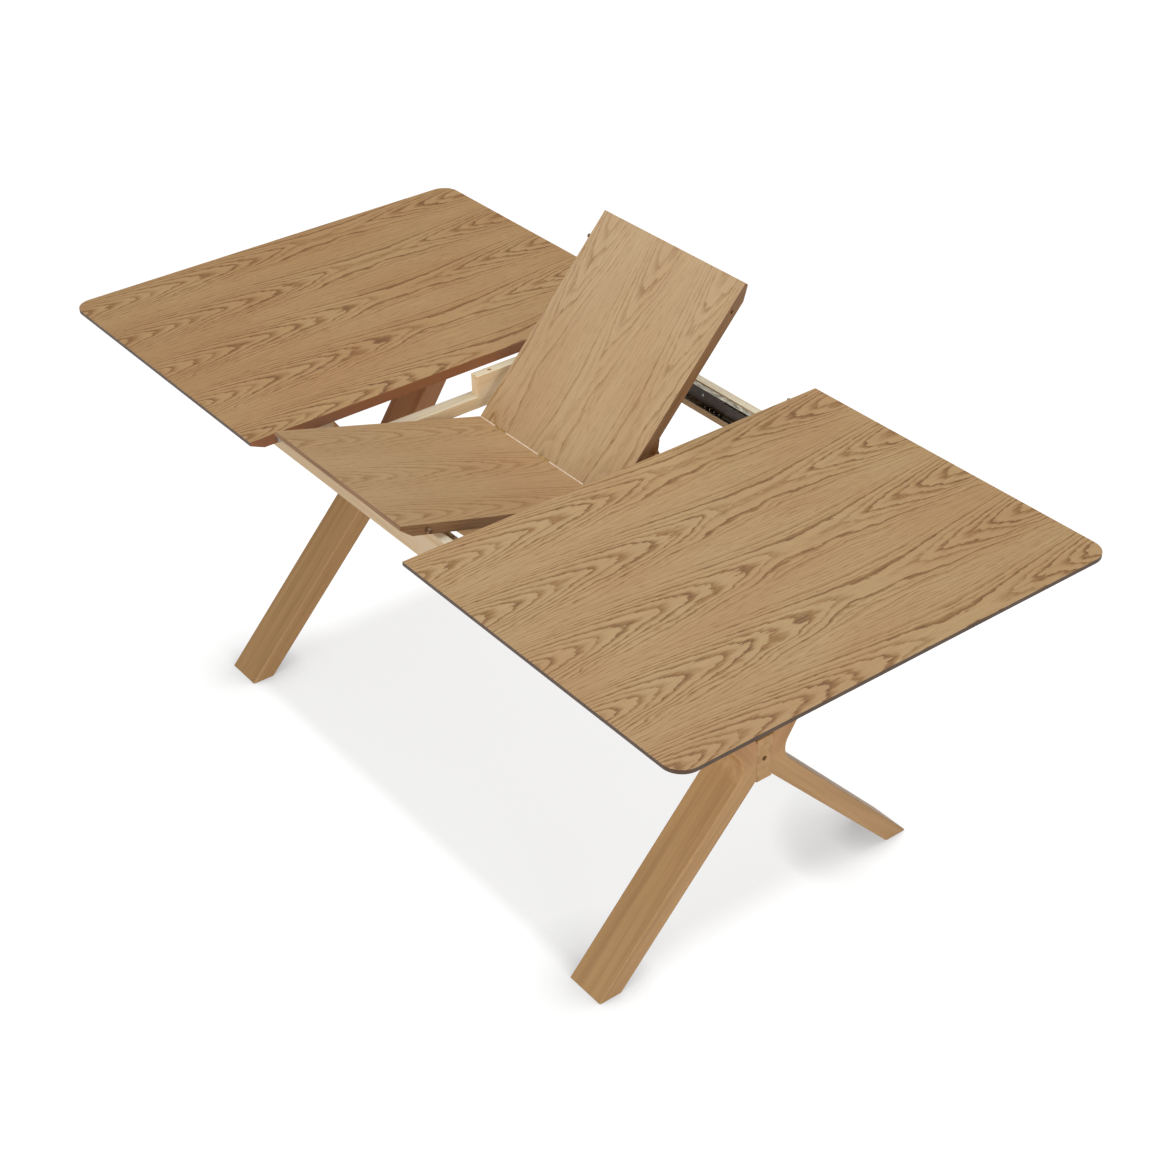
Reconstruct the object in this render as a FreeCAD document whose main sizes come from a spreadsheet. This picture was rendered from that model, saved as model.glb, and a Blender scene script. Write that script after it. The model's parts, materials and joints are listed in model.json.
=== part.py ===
"""Extending dining table with a folding butterfly leaf, pulled open as photographed.

The frame is in millimetres: X runs along the table, Y across it with +Y on the far side, and Z
is up from the floor. The origin is on the floor under the middle of the table.
Two half tops, each on its own pedestal, slide apart along a centre frame that carries the leaf.
The left half is the right half turned half a turn about Z, and so is each far piece of the
centre frame that has a near one.
"""
import FreeCAD, Part
import Sketcher
import math
import os
from FreeCAD import Placement, Rotation, Vector

# Every driving size, with what it measures.
SIZES = {
    # whole table
    "table_high": (750, "floor to table surface"),
    "table_wide": (900, "width across both tops and the leaf"),
    "half_long": (700, "length of one half top"),
    "leaf_long": (400, "length that the leaf adds"),
    "open_gap": (490, "gap between the half tops, pulled right out"),
    "top_thick": (20, "thickness of tops and leaf"),
    "corner_radius": (36, "plan radius of the outer corners"),
    "bevel_wide": (28, "width of the bevel under the outer edges"),
    "bevel_high": (12.5, "height of that bevel"),
    # pedestal
    "leg_wide": (86, "leg width along the table"),
    "leg_inset": (300, "leg's near side from the inner edge of its half top"),
    "foot_outer": (363, "outside of the foot from the centre line"),
    "foot_inner": (314, "inside of the foot from the centre line"),
    "neck_out": (38, "outer lines of a leg meet here, from the centre line"),
    "neck_high": (351, "and at this height"),
    "neck_radius": (40, "radius of the leg's bend"),
    "flat_low": (315, "bottom of the flat where the leg meets the waist block"),
    "flat_high": (399, "top of that flat"),
    "arm_outer": (276, "outside of the arm's top from the centre line"),
    "arm_inner": (226, "inside of the arm's top from the centre line"),
    "arm_dowel_out": (246, "arm's dowels from the centre line"),
    "leg_edge": (2, "bevel of the leg's long edges"),
    "block_thick": (34, "waist block between the two legs"),
    "block_over": (3, "how far the waist block stands past the flats"),
    "bearer_wide": (90, "bearer under the half top, along the table"),
    "bearer_long": (530, "bearer's length across the table"),
    "bearer_thick": (25, "bearer's thickness"),
    "bearer_screw_x": (22, "bearer's screws from its own middle line"),
    "bearer_screw_y": (120, "bearer's screws from the table's centre line"),
    # centre frame
    "rail_out": (348, "outer face of a centre rail from the centre line"),
    "rail_thick": (17, "centre rail's thickness"),
    "rail_high": (68, "centre rail's height"),
    "rail_half": (480, "half the length of a centre rail"),
    "rail_drop": (3, "clearance between a half top and the centre rails"),
    "bar_in": (222, "inner face of a cross bar from the middle"),
    "bar_wide": (28, "cross bar along the table"),
    "bar_high": (24, "cross bar's height"),
    "tenon_long": (9, "cross bar's tenon in the rail"),
    "tenon_wide": (18, "tenon along the table"),
    "tenon_high": (14, "tenon's height"),
    "post_wide": (20, "pivot block along the table"),
    "post_long": (180, "pivot block across the table"),
    "post_drop": (24, "pivot block's top below the table surface"),
    "post_screw_in": (36, "pivot block's screws from its ends"),
    # leaf pivot and fold
    "pivot_out": (112.5, "leaf pivot from the fold line"),
    "pivot_drop": (35, "leaf pivot below the table surface"),
    "far_raise": (47.4, "far panel's lean, in degrees"),
    "near_raise": (16.4, "near panel's lean, in degrees"),
    "pivot_radius": (4, "pivot stud's radius"),
    "bush_wall": (3, "wall of the pivot bush"),
    "bush_flange": (3, "bush flange past its wall"),
    "flange_thick": (1.5, "bush flange's thickness"),
    "bush_long": (16, "bush inside its block"),
    "plate_thick": (2.5, "pivot bracket's steel"),
    "plate_long": (56, "bracket's foot across the table"),
    "plate_wide": (26, "bracket's foot along the table"),
    "ear_radius": (9, "round end of the bracket's ear"),
    "bracket_inset": (1, "bracket's ear from the leaf's edge"),
    "seam_half": (0.25, "leaf panel's edge from the fold line"),
    "hinge_step": (135, "distance between the fold hinges"),
    "hinge_long": (30, "fold hinge along the table"),
    "hinge_high": (14, "hinge plate's height"),
    "hinge_thick": (1.2, "hinge plate's steel"),
    "hinge_gap": (0.2, "clearance round the hinge's knuckles and plates"),
    "knuckle_radius": (2, "hinge knuckle"),
    "hinge_pin_radius": (0.9, "hinge pin"),
    # alignment pins
    "pin_radius": (4, "alignment pin"),
    "pin_in": (55, "alignment pin from the table's long edge"),
    "pin_hold": (18, "pin's length in its own panel"),
    "pin_reach": (12, "pin's length past the edge"),
    # slides
    "runner_thick": (40, "wood runner across the table"),
    "runner_high": (42, "runner's height"),
    "runner_long": (560, "runner's length"),
    "slide_high": (42, "ball slide's height"),
    "slide_deep": (12.7, "ball slide's depth between rail and runner"),
    "slide_long": (450, "length of each slide member"),
    "slide_start": (15, "slide's inner end from the middle, table closed"),
    "slide_top": (2, "slide below the top of its rail"),
    "steel_thick": (1.2, "slide's steel"),
    "middle_step": (4, "middle member inside the outer one, each flange"),
    "middle_back": (3, "middle member's web from the rail"),
    "lip_step": (0.6, "outer flanges end this far short of the runner"),
    "middle_lip": (1.8, "middle flanges end this far short of the runner"),
    "cage_back": (7.2, "ball cage's middle from the rail"),
    "ball_radius": (1.85, "slide's balls"),
    "ball_step": (52, "pitch of the balls"),
    "cage_start": (17, "ball cage's inner end from the middle, table closed"),
    "cage_thick": (1, "ball cage's strip"),
    "cage_wide": (4.6, "ball cage's width"),
    # fasteners
    "screw_radius": (2.25, "wood screw under the tops"),
    "screw_head": (4.5, "its head's radius"),
    "head_thick": (2.6, "its head's height"),
    "screw_bite": (14, "its length in the top"),
    "small_radius": (1.5, "small screw's radius"),
    "small_head": (2.6, "small screw's head radius"),
    "small_head_thick": (0.9, "small screw's head height"),
    "small_bite": (12, "small screw's length in the wood"),
    "dowel_radius": (5, "dowel's radius"),
    "dowel_half": (14, "dowel's length each side of its joint"),
    "dowel_rise": (21, "waist dowels above and below the bolt"),
    "bolt_high": (357, "waist bolt's height"),
    "bolt_seat": (36, "bolt head's seat from the centre line"),
    "bolt_radius": (3, "waist bolt"),
    "bolt_head": (6, "waist bolt's head radius"),
    "bolt_head_deep": (5, "waist bolt head's height"),
    "nut_radius": (5, "barrel nut"),
    "nut_long": (14, "barrel nut's length"),
    "fit": (0.05, "radial clearance of a pin, screw or dowel in its hole"),
    "socket_fit": (0.1, "radial clearance of an alignment pin in the other panel"),
    "head_fit": (0.2, "radial clearance of a screw head in its recess"),
    "bore_over": (1, "spare depth at the end of a blind hole"),
    "overrun": (5, "how far a cut runs past the piece"),
}
BALLS_PER_ROW = 4
RUNNER_SCREWS = 3
SCREW_SIDES = 6
DOWEL_SIDES = 8
BUSH_SIDES = 12

# Places along a piece, as shares of its own length.
MIDDLE_SHARE = 1 / 2
ARM_DOWEL_SHARES = (-1 / 4, 1 / 4)
KNUCKLE_SHARE = 1 / 6
SLIDE_SCREW_SHARES = (1 / 8, 7 / 8)
PLATE_SCREW_SHARES = (-0.3, 0.3)
# How far the slides' loose pieces move, as shares of their half top's travel.
MEMBER_SHARE = 1 / 2
CAGE_SHARE = 1 / 4
# Differences that count as none, as shares of the overrun and of a piece's volume.
SAME_SHARE = 1e-5
UNCUT_SHARE = 1e-9

doc = FreeCAD.newDocument("extending_table")
sheet = doc.addObject("Spreadsheet::Sheet", "Sizes")
for row, (alias, (value, note)) in enumerate(SIZES.items(), start=1):
    sheet.set("A%d" % row, note)
    sheet.set("B%d" % row, str(value))
    sheet.setAlias("B%d" % row, alias)
doc.recompute()


class Size:
    """A length with its present value and the sheet expression that gives it."""

    def __init__(self, value, text):
        self.value = value
        self.text = text

    def join(self, other, sign, value):
        text = other.text if isinstance(other, Size) else repr(other)
        return Size(value, "(%s %s %s)" % (self.text, sign, text))

    def __add__(self, other):
        return self.join(other, "+", self.value + number(other))

    def __sub__(self, other):
        return self.join(other, "-", self.value - number(other))

    def __mul__(self, other):
        return self.join(other, "*", self.value * number(other))

    def __truediv__(self, other):
        return self.join(other, "/", self.value / number(other))

    def __neg__(self):
        return self * -1


def number(item):
    return item.value if isinstance(item, Size) else item


class Sheet:
    """Gives each named size of the sheet as a Size."""

    def __getattr__(self, alias):
        return Size(float(SIZES[alias][0]), "Sizes." + alias)


z = Sheet()
nodes = []
cuts = []


def bind(item, path, size):
    """Binds a property to a size, or sets it when the size is plain zero."""
    if isinstance(size, Size):
        item.setExpression(path, size.text)


def place(item, x=0, y=0, height=0, turned=False):
    """Places a piece, turned half a turn about Z when it belongs to the other half."""
    side = -1 if turned else 1
    turn = Rotation(Vector(0, 0, 1), 180 if turned else 0)
    item.Placement = Placement(Vector(side * number(x), side * number(y), number(height)), turn)
    if isinstance(x, Size):
        bind(item, ".Placement.Base.x", x * side)
    if isinstance(y, Size):
        bind(item, ".Placement.Base.y", y * side)
    bind(item, ".Placement.Base.z", height)


def new_body(label, is_node=True):
    body = doc.addObject("PartDesign::Body", label)
    body.Label = label
    body.AllowCompound = True
    if is_node:
        nodes.append(body)
    return body


def group(label, pieces, turned=False):
    """Several separate solids that share one node."""
    compound = doc.addObject("Part::Compound", label)
    compound.Links = pieces
    compound.Label = label
    nodes.append(compound)
    place(compound, 0, 0, 0, turned)


def new_sketch(body, plane, offset=0):
    """A sketch on one of the body's own origin planes, shifted along the plane's normal."""
    sketch = body.newObject("Sketcher::SketchObject", body.Label + "_sketch")
    support = [f for f in body.Origin.OriginFeatures if f.Role == plane + "_Plane"][0]
    sketch.AttachmentSupport = [(support, "")]
    sketch.MapMode = "FlatFace"
    sketch.AttachmentOffset = Placement(Vector(0, 0, number(offset)), Rotation())
    bind(sketch, "AttachmentOffset.Base.z", offset)
    return sketch


def add_rules(sketch, rules):
    """Adds constraints together, and binds each one that has a named size to it."""
    places = sketch.addConstraint([rule for rule, size in rules])
    for index, (rule, size) in zip(places, rules):
        if size is not None:
            sketch.setExpression("Constraints[%d]" % index, size.text)


def point_rules(geometry, position, x, y):
    """Rules that hold a point of the sketch at named distances from the axes."""
    rules = []
    for size, kind, axis in ((x, "DistanceX", -2), (y, "DistanceY", -1)):
        if isinstance(size, Size):
            rule = Sketcher.Constraint(kind, -1, 1, geometry, position, size.value)
            rules.append((rule, size))
        else:
            rule = Sketcher.Constraint("PointOnObject", geometry, position, axis)
            rules.append((rule, None))
    return rules


def draw_outlines(sketch, outlines):
    """Draws closed outlines of straight lines, each through its own points."""
    rules = []
    for points in outlines:
        first = sketch.GeometryCount
        count = len(points)
        flat = [Vector(number(x), number(y), 0) for x, y in points]
        lines = [Part.LineSegment(flat[i], flat[(i + 1) % count]) for i in range(count)]
        sketch.addGeometry(lines, False)
        for i, (x, y) in enumerate(points):
            follower = first + (i + 1) % count
            rules.append((Sketcher.Constraint("Coincident", first + i, 2, follower, 1), None))
            rules += point_rules(first + i, 1, x, y)
    add_rules(sketch, rules)


def draw_outline(sketch, points):
    draw_outlines(sketch, [points])


def draw_box(sketch, x0, x1, y0, y1):
    draw_outline(sketch, [(x0, y0), (x1, y0), (x1, y1), (x0, y1)])


def draw_rounds(sketch, centres, radius, sides=0):
    """Circles, or outlines of flat sides whose corners lie on the circle."""
    if sides:
        turns = [math.tau * (i + MIDDLE_SHARE) / sides for i in range(sides)]
        draw_outlines(sketch, [[(radius * math.cos(turn) + x, radius * math.sin(turn) + y)
                                for turn in turns] for x, y in centres])
        return
    rules = []
    for x, y in centres:
        centre = Vector(number(x), number(y), 0)
        circle = sketch.addGeometry(Part.Circle(centre, Vector(0, 0, 1), radius.value), False)
        rules.append((Sketcher.Constraint("Radius", circle, radius.value), radius))
        rules += point_rules(circle, 3, x, y)
    add_rules(sketch, rules)


def add_pad(body, sketch, length, back=False):
    pad = body.newObject("PartDesign::Pad", body.Label + "_pad")
    pad.Profile = sketch
    pad.Length = length.value
    bind(pad, "Length", length)
    pad.Reversed = back
    sketch.Visibility = False
    return pad


def add_pocket(body, sketch, length, back=False):
    """Cuts a pocket, and lists it to be tested later, because a pocket may miss its piece."""
    pocket = body.newObject("PartDesign::Pocket", body.Label + "_pocket")
    pocket.Profile = sketch
    pocket.Length = length.value
    bind(pocket, "Length", length)
    pocket.Reversed = back
    cuts.append(pocket)
    return pocket


def box_body(label, x0, x1, y0, y1, low, high):
    """A plain board between the given faces."""
    body = new_body(label)
    sketch = new_sketch(body, "XY", low)
    draw_box(sketch, x0, x1, y0, y1)
    add_pad(body, sketch, high - low)
    return body


def drill(body, plane, offset, centres, radius, depth, back=False, sides=0):
    """Holes that start on the sketch plane. A pocket runs against the plane's normal."""
    sketch = new_sketch(body, plane, offset)
    draw_rounds(sketch, centres, radius, sides)
    add_pocket(body, sketch, depth, back)


def rods(body, plane, offset, centres, radius, length, back=False, sides=0):
    """Rods along the plane's normal."""
    sketch = new_sketch(body, plane, offset)
    draw_rounds(sketch, centres, radius, sides)
    add_pad(body, sketch, length, back)


def edges_where(shape, test):
    return ["Edge%d" % (i + 1) for i, edge in enumerate(shape.Edges) if test(edge)]


def round_edges(body, names, radius):
    base = body.Tip
    fillet = body.newObject("PartDesign::Fillet", body.Label + "_fillet")
    fillet.Base = (base, names)
    fillet.Radius = radius.value
    bind(fillet, "Radius", radius)
    doc.recompute()
    return fillet


def near(one, other):
    return abs(one - other) < z.overrun.value * SAME_SHARE


# Heights that several pieces share.
surface = z.table_high
underside = z.table_high - z.top_thick
half_wide = z.table_wide / 2
half_leaf = z.leaf_long / 2
half_open = z.open_gap / 2
rail_top = underside - z.rail_drop
rail_low = rail_top - z.rail_high
rail_in = z.rail_out - z.rail_thick
runner_out = rail_in - z.slide_deep
runner_in = runner_out - z.runner_thick
bearer_low = underside - z.bearer_thick
leg_middle = z.leg_inset + z.leg_wide / 2
slide_middle = rail_top - z.slide_top - z.slide_high / 2
pin_height = surface - z.top_thick / 2
pin_y = half_wide - z.pin_in
middle_high = z.slide_high - (z.steel_thick + z.middle_step) * 2
inner_high = middle_high - (z.steel_thick + z.middle_step) * 2
bar_low = rail_low
post_low = bar_low + z.bar_high
post_top = surface - z.post_drop


def bevel_under(body, low, is_outer):
    """Bevels the outer edges of the underside, wide along the face and low up the edge."""
    doc.recompute()
    base = body.Tip

    def test(edge):
        flat = all(near(v.Z, low.value) for v in edge.Vertexes)
        middle = edge.valueAt((edge.FirstParameter + edge.LastParameter) / 2)
        return flat and near(middle.z, low.value) and is_outer(middle)

    names = edges_where(base.Shape, test)
    chamfer = body.newObject("PartDesign::Chamfer", body.Label + "_bevel")
    chamfer.Base = (base, names)
    chamfer.ChamferType = "Two distances"
    chamfer.FlipDirection = True
    chamfer.Size = z.bevel_wide.value
    chamfer.Size2 = z.bevel_high.value
    bind(chamfer, "Size", z.bevel_wide)
    bind(chamfer, "Size2", z.bevel_high)
    return chamfer


def bearer_screw_points():
    return [(leg_middle + z.bearer_screw_x * x_side, z.bearer_screw_y * y_side)
            for x_side in (-1, 1) for y_side in (-1, 1)]


def runner_screw_points(side):
    step = z.runner_long / RUNNER_SCREWS
    y = (runner_in + z.runner_thick / 2) * side
    return [(step * (i + MIDDLE_SHARE), y) for i in range(RUNNER_SCREWS)]


def all_top_screws():
    return bearer_screw_points() + runner_screw_points(-1) + runner_screw_points(1)


def half_top(label, turned):
    """Half top: square at the inner edge, round corners and a bevel under the other three."""
    body = box_body(label, 0, z.half_long, -half_wide, half_wide, underside, surface)
    doc.recompute()
    far = z.half_long.value

    def is_corner(edge):
        return edge.Length > 0 and all(near(v.X, far) for v in edge.Vertexes) and near(
            edge.Length, z.top_thick.value)

    round_edges(body, edges_where(body.Shape, is_corner), z.corner_radius)
    bevel_under(body, underside, lambda p: p.x > z.overrun.value)
    depth = z.screw_bite + z.bore_over
    drill(body, "XY", underside, all_top_screws(), z.screw_radius + z.fit, depth, True,
          SCREW_SIDES)
    drill(body, "YZ", 0, [(-pin_y, pin_height)], z.pin_radius + z.socket_fit,
          z.pin_reach + z.bore_over, True)
    drill(body, "YZ", 0, [(pin_y, pin_height)], z.pin_radius + z.fit,
          z.pin_hold + z.bore_over, True)
    place(body, half_open, 0, 0, turned)


def top_pin(label, turned):
    """Pin that stands out of the half top's inner edge."""
    body = new_body(label)
    rods(body, "YZ", -z.pin_reach, [(pin_y, pin_height)], z.pin_radius, z.pin_reach + z.pin_hold)
    place(body, half_open, 0, 0, turned)


def top_screws(label, turned):
    """Wood screws up through the bearer and the runners into the half top."""
    body = new_body(label)
    length = z.bearer_thick + z.screw_bite
    rods(body, "XY", bearer_low, all_top_screws(), z.screw_radius, length, False, SCREW_SIDES)
    rods(body, "XY", bearer_low - z.head_thick, all_top_screws(), z.screw_head, z.head_thick,
         False, SCREW_SIDES)
    place(body, half_open, 0, 0, turned)


def bearer(label, turned):
    low, high = bearer_low, underside
    x0 = leg_middle - z.bearer_wide / 2
    body = box_body(label, x0, x0 + z.bearer_wide, -z.bearer_long / 2, z.bearer_long / 2,
                    low, high)
    drill(body, "XY", low - z.overrun, bearer_screw_points(), z.screw_radius + z.fit,
          z.bearer_thick + z.overrun * 2, True, SCREW_SIDES)
    drill(body, "XY", low, arm_dowel_points(), z.dowel_radius + z.fit,
          z.dowel_half + z.bore_over, True, DOWEL_SIDES)
    place(body, half_open, 0, 0, turned)


def arm_dowel_points(sides=(-1, 1)):
    return [(leg_middle + z.leg_wide * share, z.arm_dowel_out * side)
            for side in sides for share in ARM_DOWEL_SHARES]


def waist_dowel_points():
    return [(leg_middle, z.bolt_high + z.dowel_rise * rise) for rise in (-1, 1)]


def leg(label, side, turned):
    """Bent leg: foot, neck against the waist block, and an arm that leans out to the bearer."""
    body = new_body(label)
    sketch = new_sketch(body, "YZ", z.leg_inset)
    inner = z.block_thick / 2
    draw_outline(sketch, [
        (z.foot_outer * side, 0), (z.foot_inner * side, 0),
        (inner * side, z.flat_low), (inner * side, z.flat_high),
        (z.arm_inner * side, bearer_low), (z.arm_outer * side, bearer_low),
        (z.neck_out * side, z.neck_high)])
    add_pad(body, sketch, z.leg_wide)
    doc.recompute()
    bend_y, bend_z = number(z.neck_out * side), number(z.neck_high)

    def is_bend(edge):
        return len(edge.Vertexes) == 2 and all(
            near(v.Y, bend_y) and near(v.Z, bend_z) for v in edge.Vertexes)

    round_edges(body, edges_where(body.Shape, is_bend), z.neck_radius)
    bevel_leg(body)
    depth = z.dowel_half + z.bore_over
    reach = z.block_thick / 2 + z.dowel_half + z.bore_over
    drill(body, "XZ", 0, waist_dowel_points(), z.dowel_radius + z.fit, reach, side < 0,
          DOWEL_SIDES)
    drill(body, "XY", bearer_low, arm_dowel_points((side,)), z.dowel_radius + z.fit, depth,
          False, DOWEL_SIDES)
    if side > 0:
        centre = [(leg_middle, z.bolt_high)]
        drill(body, "XZ", 0, centre, z.bolt_radius + z.fit, z.foot_outer, False, SCREW_SIDES)
        drill(body, "XZ", -z.bolt_seat, centre, z.bolt_head + z.head_fit, z.foot_outer, False,
              BUSH_SIDES)
    place(body, half_open, 0, 0, turned)


def bevel_leg(body):
    """Bevels the long edges on both broad sides of a leg, but not its foot, top or flat."""
    base = body.Tip
    faces = (z.leg_inset.value, z.leg_inset.value + z.leg_wide.value)
    level = (0, bearer_low.value)
    flat = z.block_thick.value / 2

    def test(edge):
        ends = edge.Vertexes
        broad = any(all(near(v.X, face) for v in ends) for face in faces)
        end = any(all(near(v.Z, height) for v in ends) for height in level)
        inner = all(near(abs(v.Y), flat) for v in ends)
        return broad and not end and not inner

    chamfer = body.newObject("PartDesign::Chamfer", body.Label + "_bevel")
    chamfer.Base = (base, edges_where(base.Shape, test))
    chamfer.Size = z.leg_edge.value
    bind(chamfer, "Size", z.leg_edge)


def waist_block(label, turned):
    """Block between the two legs, with the dark hole of the barrel nut in its end."""
    half = z.block_thick / 2
    body = box_body(label, z.leg_inset, z.leg_inset + z.leg_wide, -half, half,
                    z.flat_low - z.block_over, z.flat_high + z.block_over)
    hole_from = leg_middle - z.nut_long / 2
    drill(body, "YZ", hole_from, [(0, z.bolt_high)], z.nut_radius + z.fit, z.leg_wide, True,
          BUSH_SIDES)
    drill(body, "XZ", -half - z.overrun, [(leg_middle, z.bolt_high)], z.bolt_radius + z.fit,
          half + z.overrun, True, SCREW_SIDES)
    depth = z.dowel_half + z.bore_over
    for side in (-1, 1):
        drill(body, "XZ", half * side, waist_dowel_points(), z.dowel_radius + z.fit, depth,
              side < 0, DOWEL_SIDES)
    place(body, half_open, 0, 0, turned)


def waist_connector(label, turned):
    """Barrel nut in the waist block, and the bolt that draws the far leg to it."""
    centre = [(leg_middle, z.bolt_high)]
    nut = new_body(label + "_nut", False)
    rods(nut, "YZ", leg_middle - z.nut_long / 2, [(0, z.bolt_high)], z.nut_radius, z.nut_long,
         False, BUSH_SIDES)
    drill(nut, "XZ", -z.nut_long, centre, z.bolt_radius + z.fit, z.nut_long * 2, True,
          SCREW_SIDES)
    bolt = new_body(label + "_bolt", False)
    rods(bolt, "XZ", -z.bolt_seat, centre, z.bolt_radius, z.bolt_seat, False, SCREW_SIDES)
    rods(bolt, "XZ", -z.bolt_seat, centre, z.bolt_head, z.bolt_head_deep, True, BUSH_SIDES)
    for piece in (nut, bolt):
        place(piece, half_open)
    group(label, [nut, bolt], turned)


def dowels(label, turned):
    """Dowels between the legs and the waist block, and between the arms and the bearer."""
    body = new_body(label)
    for side in (-1, 1):
        middle = z.block_thick / 2 * side
        rods(body, "XZ", z.dowel_half - middle, waist_dowel_points(), z.dowel_radius,
             z.dowel_half * 2, True, DOWEL_SIDES)
    rods(body, "XY", bearer_low - z.dowel_half, arm_dowel_points(), z.dowel_radius,
         z.dowel_half * 2, False, DOWEL_SIDES)
    place(body, half_open, 0, 0, turned)


def runner(label, side, turned):
    """Wood runner under the half top, between it and the ball slide."""
    sides = sorted((runner_in * side, runner_out * side), key=number)
    low = underside - z.runner_high
    body = box_body(label, z.bore_over, z.runner_long, sides[0], sides[1], low, underside)
    points = runner_screw_points(side)
    drill(body, "XY", low - z.overrun, points, z.screw_radius + z.fit,
          z.runner_high + z.overrun * 2, True, SCREW_SIDES)
    drill(body, "XY", low - z.overrun, points, z.screw_head + z.head_fit,
          z.runner_high - z.bearer_thick + z.overrun, True, SCREW_SIDES)
    drill(body, "XZ", -runner_out * side, slide_screw_points(z.slide_start),
          z.small_radius + z.fit, z.small_bite + z.bore_over, side > 0, SCREW_SIDES)
    place(body, half_open, 0, 0, turned)


def slide_screw_points(x0):
    return [(x0 + z.slide_long * share, slide_middle) for share in SLIDE_SCREW_SHARES]


def channel(body, side, back, high, deep, opens_in, x0):
    """Thin steel channel along X: its web stands at back, and its flanges run to deep.

    Distances across are counted from the rail's inner face towards the middle of the table.
    """
    def across(depth):
        return (rail_in - depth) * side

    top = slide_middle + high / 2
    low = slide_middle - high / 2
    steel = z.steel_thick
    web = steel + back if opens_in else back - steel
    sketch = new_sketch(body, "YZ", x0)
    draw_outline(sketch, [
        (across(back), low), (across(deep), low), (across(deep), low + steel),
        (across(web), low + steel), (across(web), top - steel),
        (across(deep), top - steel), (across(deep), top), (across(back), top)])
    add_pad(body, sketch, z.slide_long)


def slide_outer(label, x0, turned):
    """Outer slide member, screwed to the near centre rail."""
    body = new_body(label)
    channel(body, -1, 0, z.slide_high, z.slide_deep - z.lip_step, True, x0)
    drill(body, "XZ", rail_in + z.overrun, slide_screw_points(x0), z.small_radius + z.fit,
          z.slide_deep + z.overrun, False, SCREW_SIDES)
    place(body, 0, 0, 0, turned)


def slide_middle_member(label, x0, turned):
    """Middle slide member, which travels half as far as the half top."""
    body = new_body(label)
    channel(body, -1, z.middle_back, middle_high, z.slide_deep - z.middle_lip, True, x0)
    place(body, 0, 0, 0, turned)


def slide_inner(label, side, turned):
    """Inner slide member, screwed to a runner."""
    body = new_body(label)
    channel(body, side, z.slide_deep, inner_high, z.middle_back + z.steel_thick * 2, False,
            z.slide_start)
    drill(body, "XZ", -(runner_out - z.overrun) * side, slide_screw_points(z.slide_start),
          z.small_radius + z.fit, z.slide_deep + z.overrun, side < 0, SCREW_SIDES)
    place(body, half_open, 0, 0, turned)


def slide_screws(label, turned):
    """Small screws of the inner slide members."""
    body = new_body(label)
    points = slide_screw_points(z.slide_start)
    for side in (-1, 1):
        face = runner_out + z.steel_thick
        rods(body, "XZ", -face * side, points, z.small_radius, z.small_bite, side < 0,
             SCREW_SIDES)
        rods(body, "XZ", -face * side, points, z.small_head, z.small_head_thick, side > 0,
             SCREW_SIDES)
    place(body, half_open, 0, 0, turned)


def frame_slide_screws(label):
    """Small screws of the outer slide members."""
    body = new_body(label)
    starts = (z.slide_start, -(z.slide_start + z.slide_long))
    points = [point for x0 in starts for point in slide_screw_points(x0)]
    face = rail_in - z.steel_thick
    for side in (-1, 1):
        rods(body, "XZ", -face * side, points, z.small_radius, z.small_bite, side > 0,
             SCREW_SIDES)
        rods(body, "XZ", -face * side, points, z.small_head, z.small_head_thick, side < 0,
             SCREW_SIDES)
    place(body)


def ball_outline(x, y, side):
    """One ball's flat-sided outline above or below the cage's strip."""
    thick, radius = z.cage_thick / 2, z.ball_radius
    return [(x - radius * side, y + thick * side), (x - radius * side / 2, y + radius * side),
            (x + radius * side / 2, y + radius * side), (x + radius * side, y + thick * side)]


def ball_strips(label, turned):
    """Cages with their balls, above and below both middle members of one half."""
    body = new_body(label)
    row = (z.slide_high - z.middle_step) / 2 - z.steel_thick
    length = z.ball_step * BALLS_PER_ROW
    balls = [z.ball_step * (i + MIDDLE_SHARE) for i in range(BALLS_PER_ROW)]
    for side in (-1, 1):
        sketch = new_sketch(body, "XZ", (rail_in - z.cage_back) * side - z.cage_wide / 2)
        for rise in (-1, 1):
            middle = slide_middle + row * rise
            thick = z.cage_thick / 2
            points = [(0, middle + thick)]
            for x in balls:
                points += ball_outline(x, middle, 1)
            points += [(length, middle + thick), (length, middle - thick)]
            for x in reversed(balls):
                points += ball_outline(x, middle, -1)
            points += [(0, middle - thick)]
            draw_outline(sketch, points)
        add_pad(body, sketch, z.cage_wide)
    place(body, z.cage_start + half_open * CAGE_SHARE, 0, 0, turned)


def rail(label, turned):
    """Centre rail with mortises for both cross bars."""
    body = box_body(label, -z.rail_half, z.rail_half, -z.rail_out, -rail_in, rail_low, rail_top)
    sketch = new_sketch(body, "XZ", rail_in - z.overrun)
    for side in (-1, 1):
        x0, x1, low, high = tenon_box(side)
        draw_box(sketch, x0, x1, low, high)
    add_pocket(body, sketch, z.tenon_long + z.overrun, True)
    points = [p for x0 in (z.slide_start, -(z.slide_start + z.slide_long))
              for p in slide_screw_points(x0)]
    drill(body, "XZ", rail_in - z.overrun, points, z.small_radius + z.fit,
          z.small_bite + z.overrun, True, SCREW_SIDES)
    place(body, 0, 0, 0, turned)


def tenon_box(side):
    """A cross bar's tenon, seen along Y, as x0, x1, low and high."""
    middle = (z.bar_in + z.bar_wide / 2) * side
    low = bar_low + (z.bar_high - z.tenon_high) / 2
    return middle - z.tenon_wide / 2, middle + z.tenon_wide / 2, low, low + z.tenon_high


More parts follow.
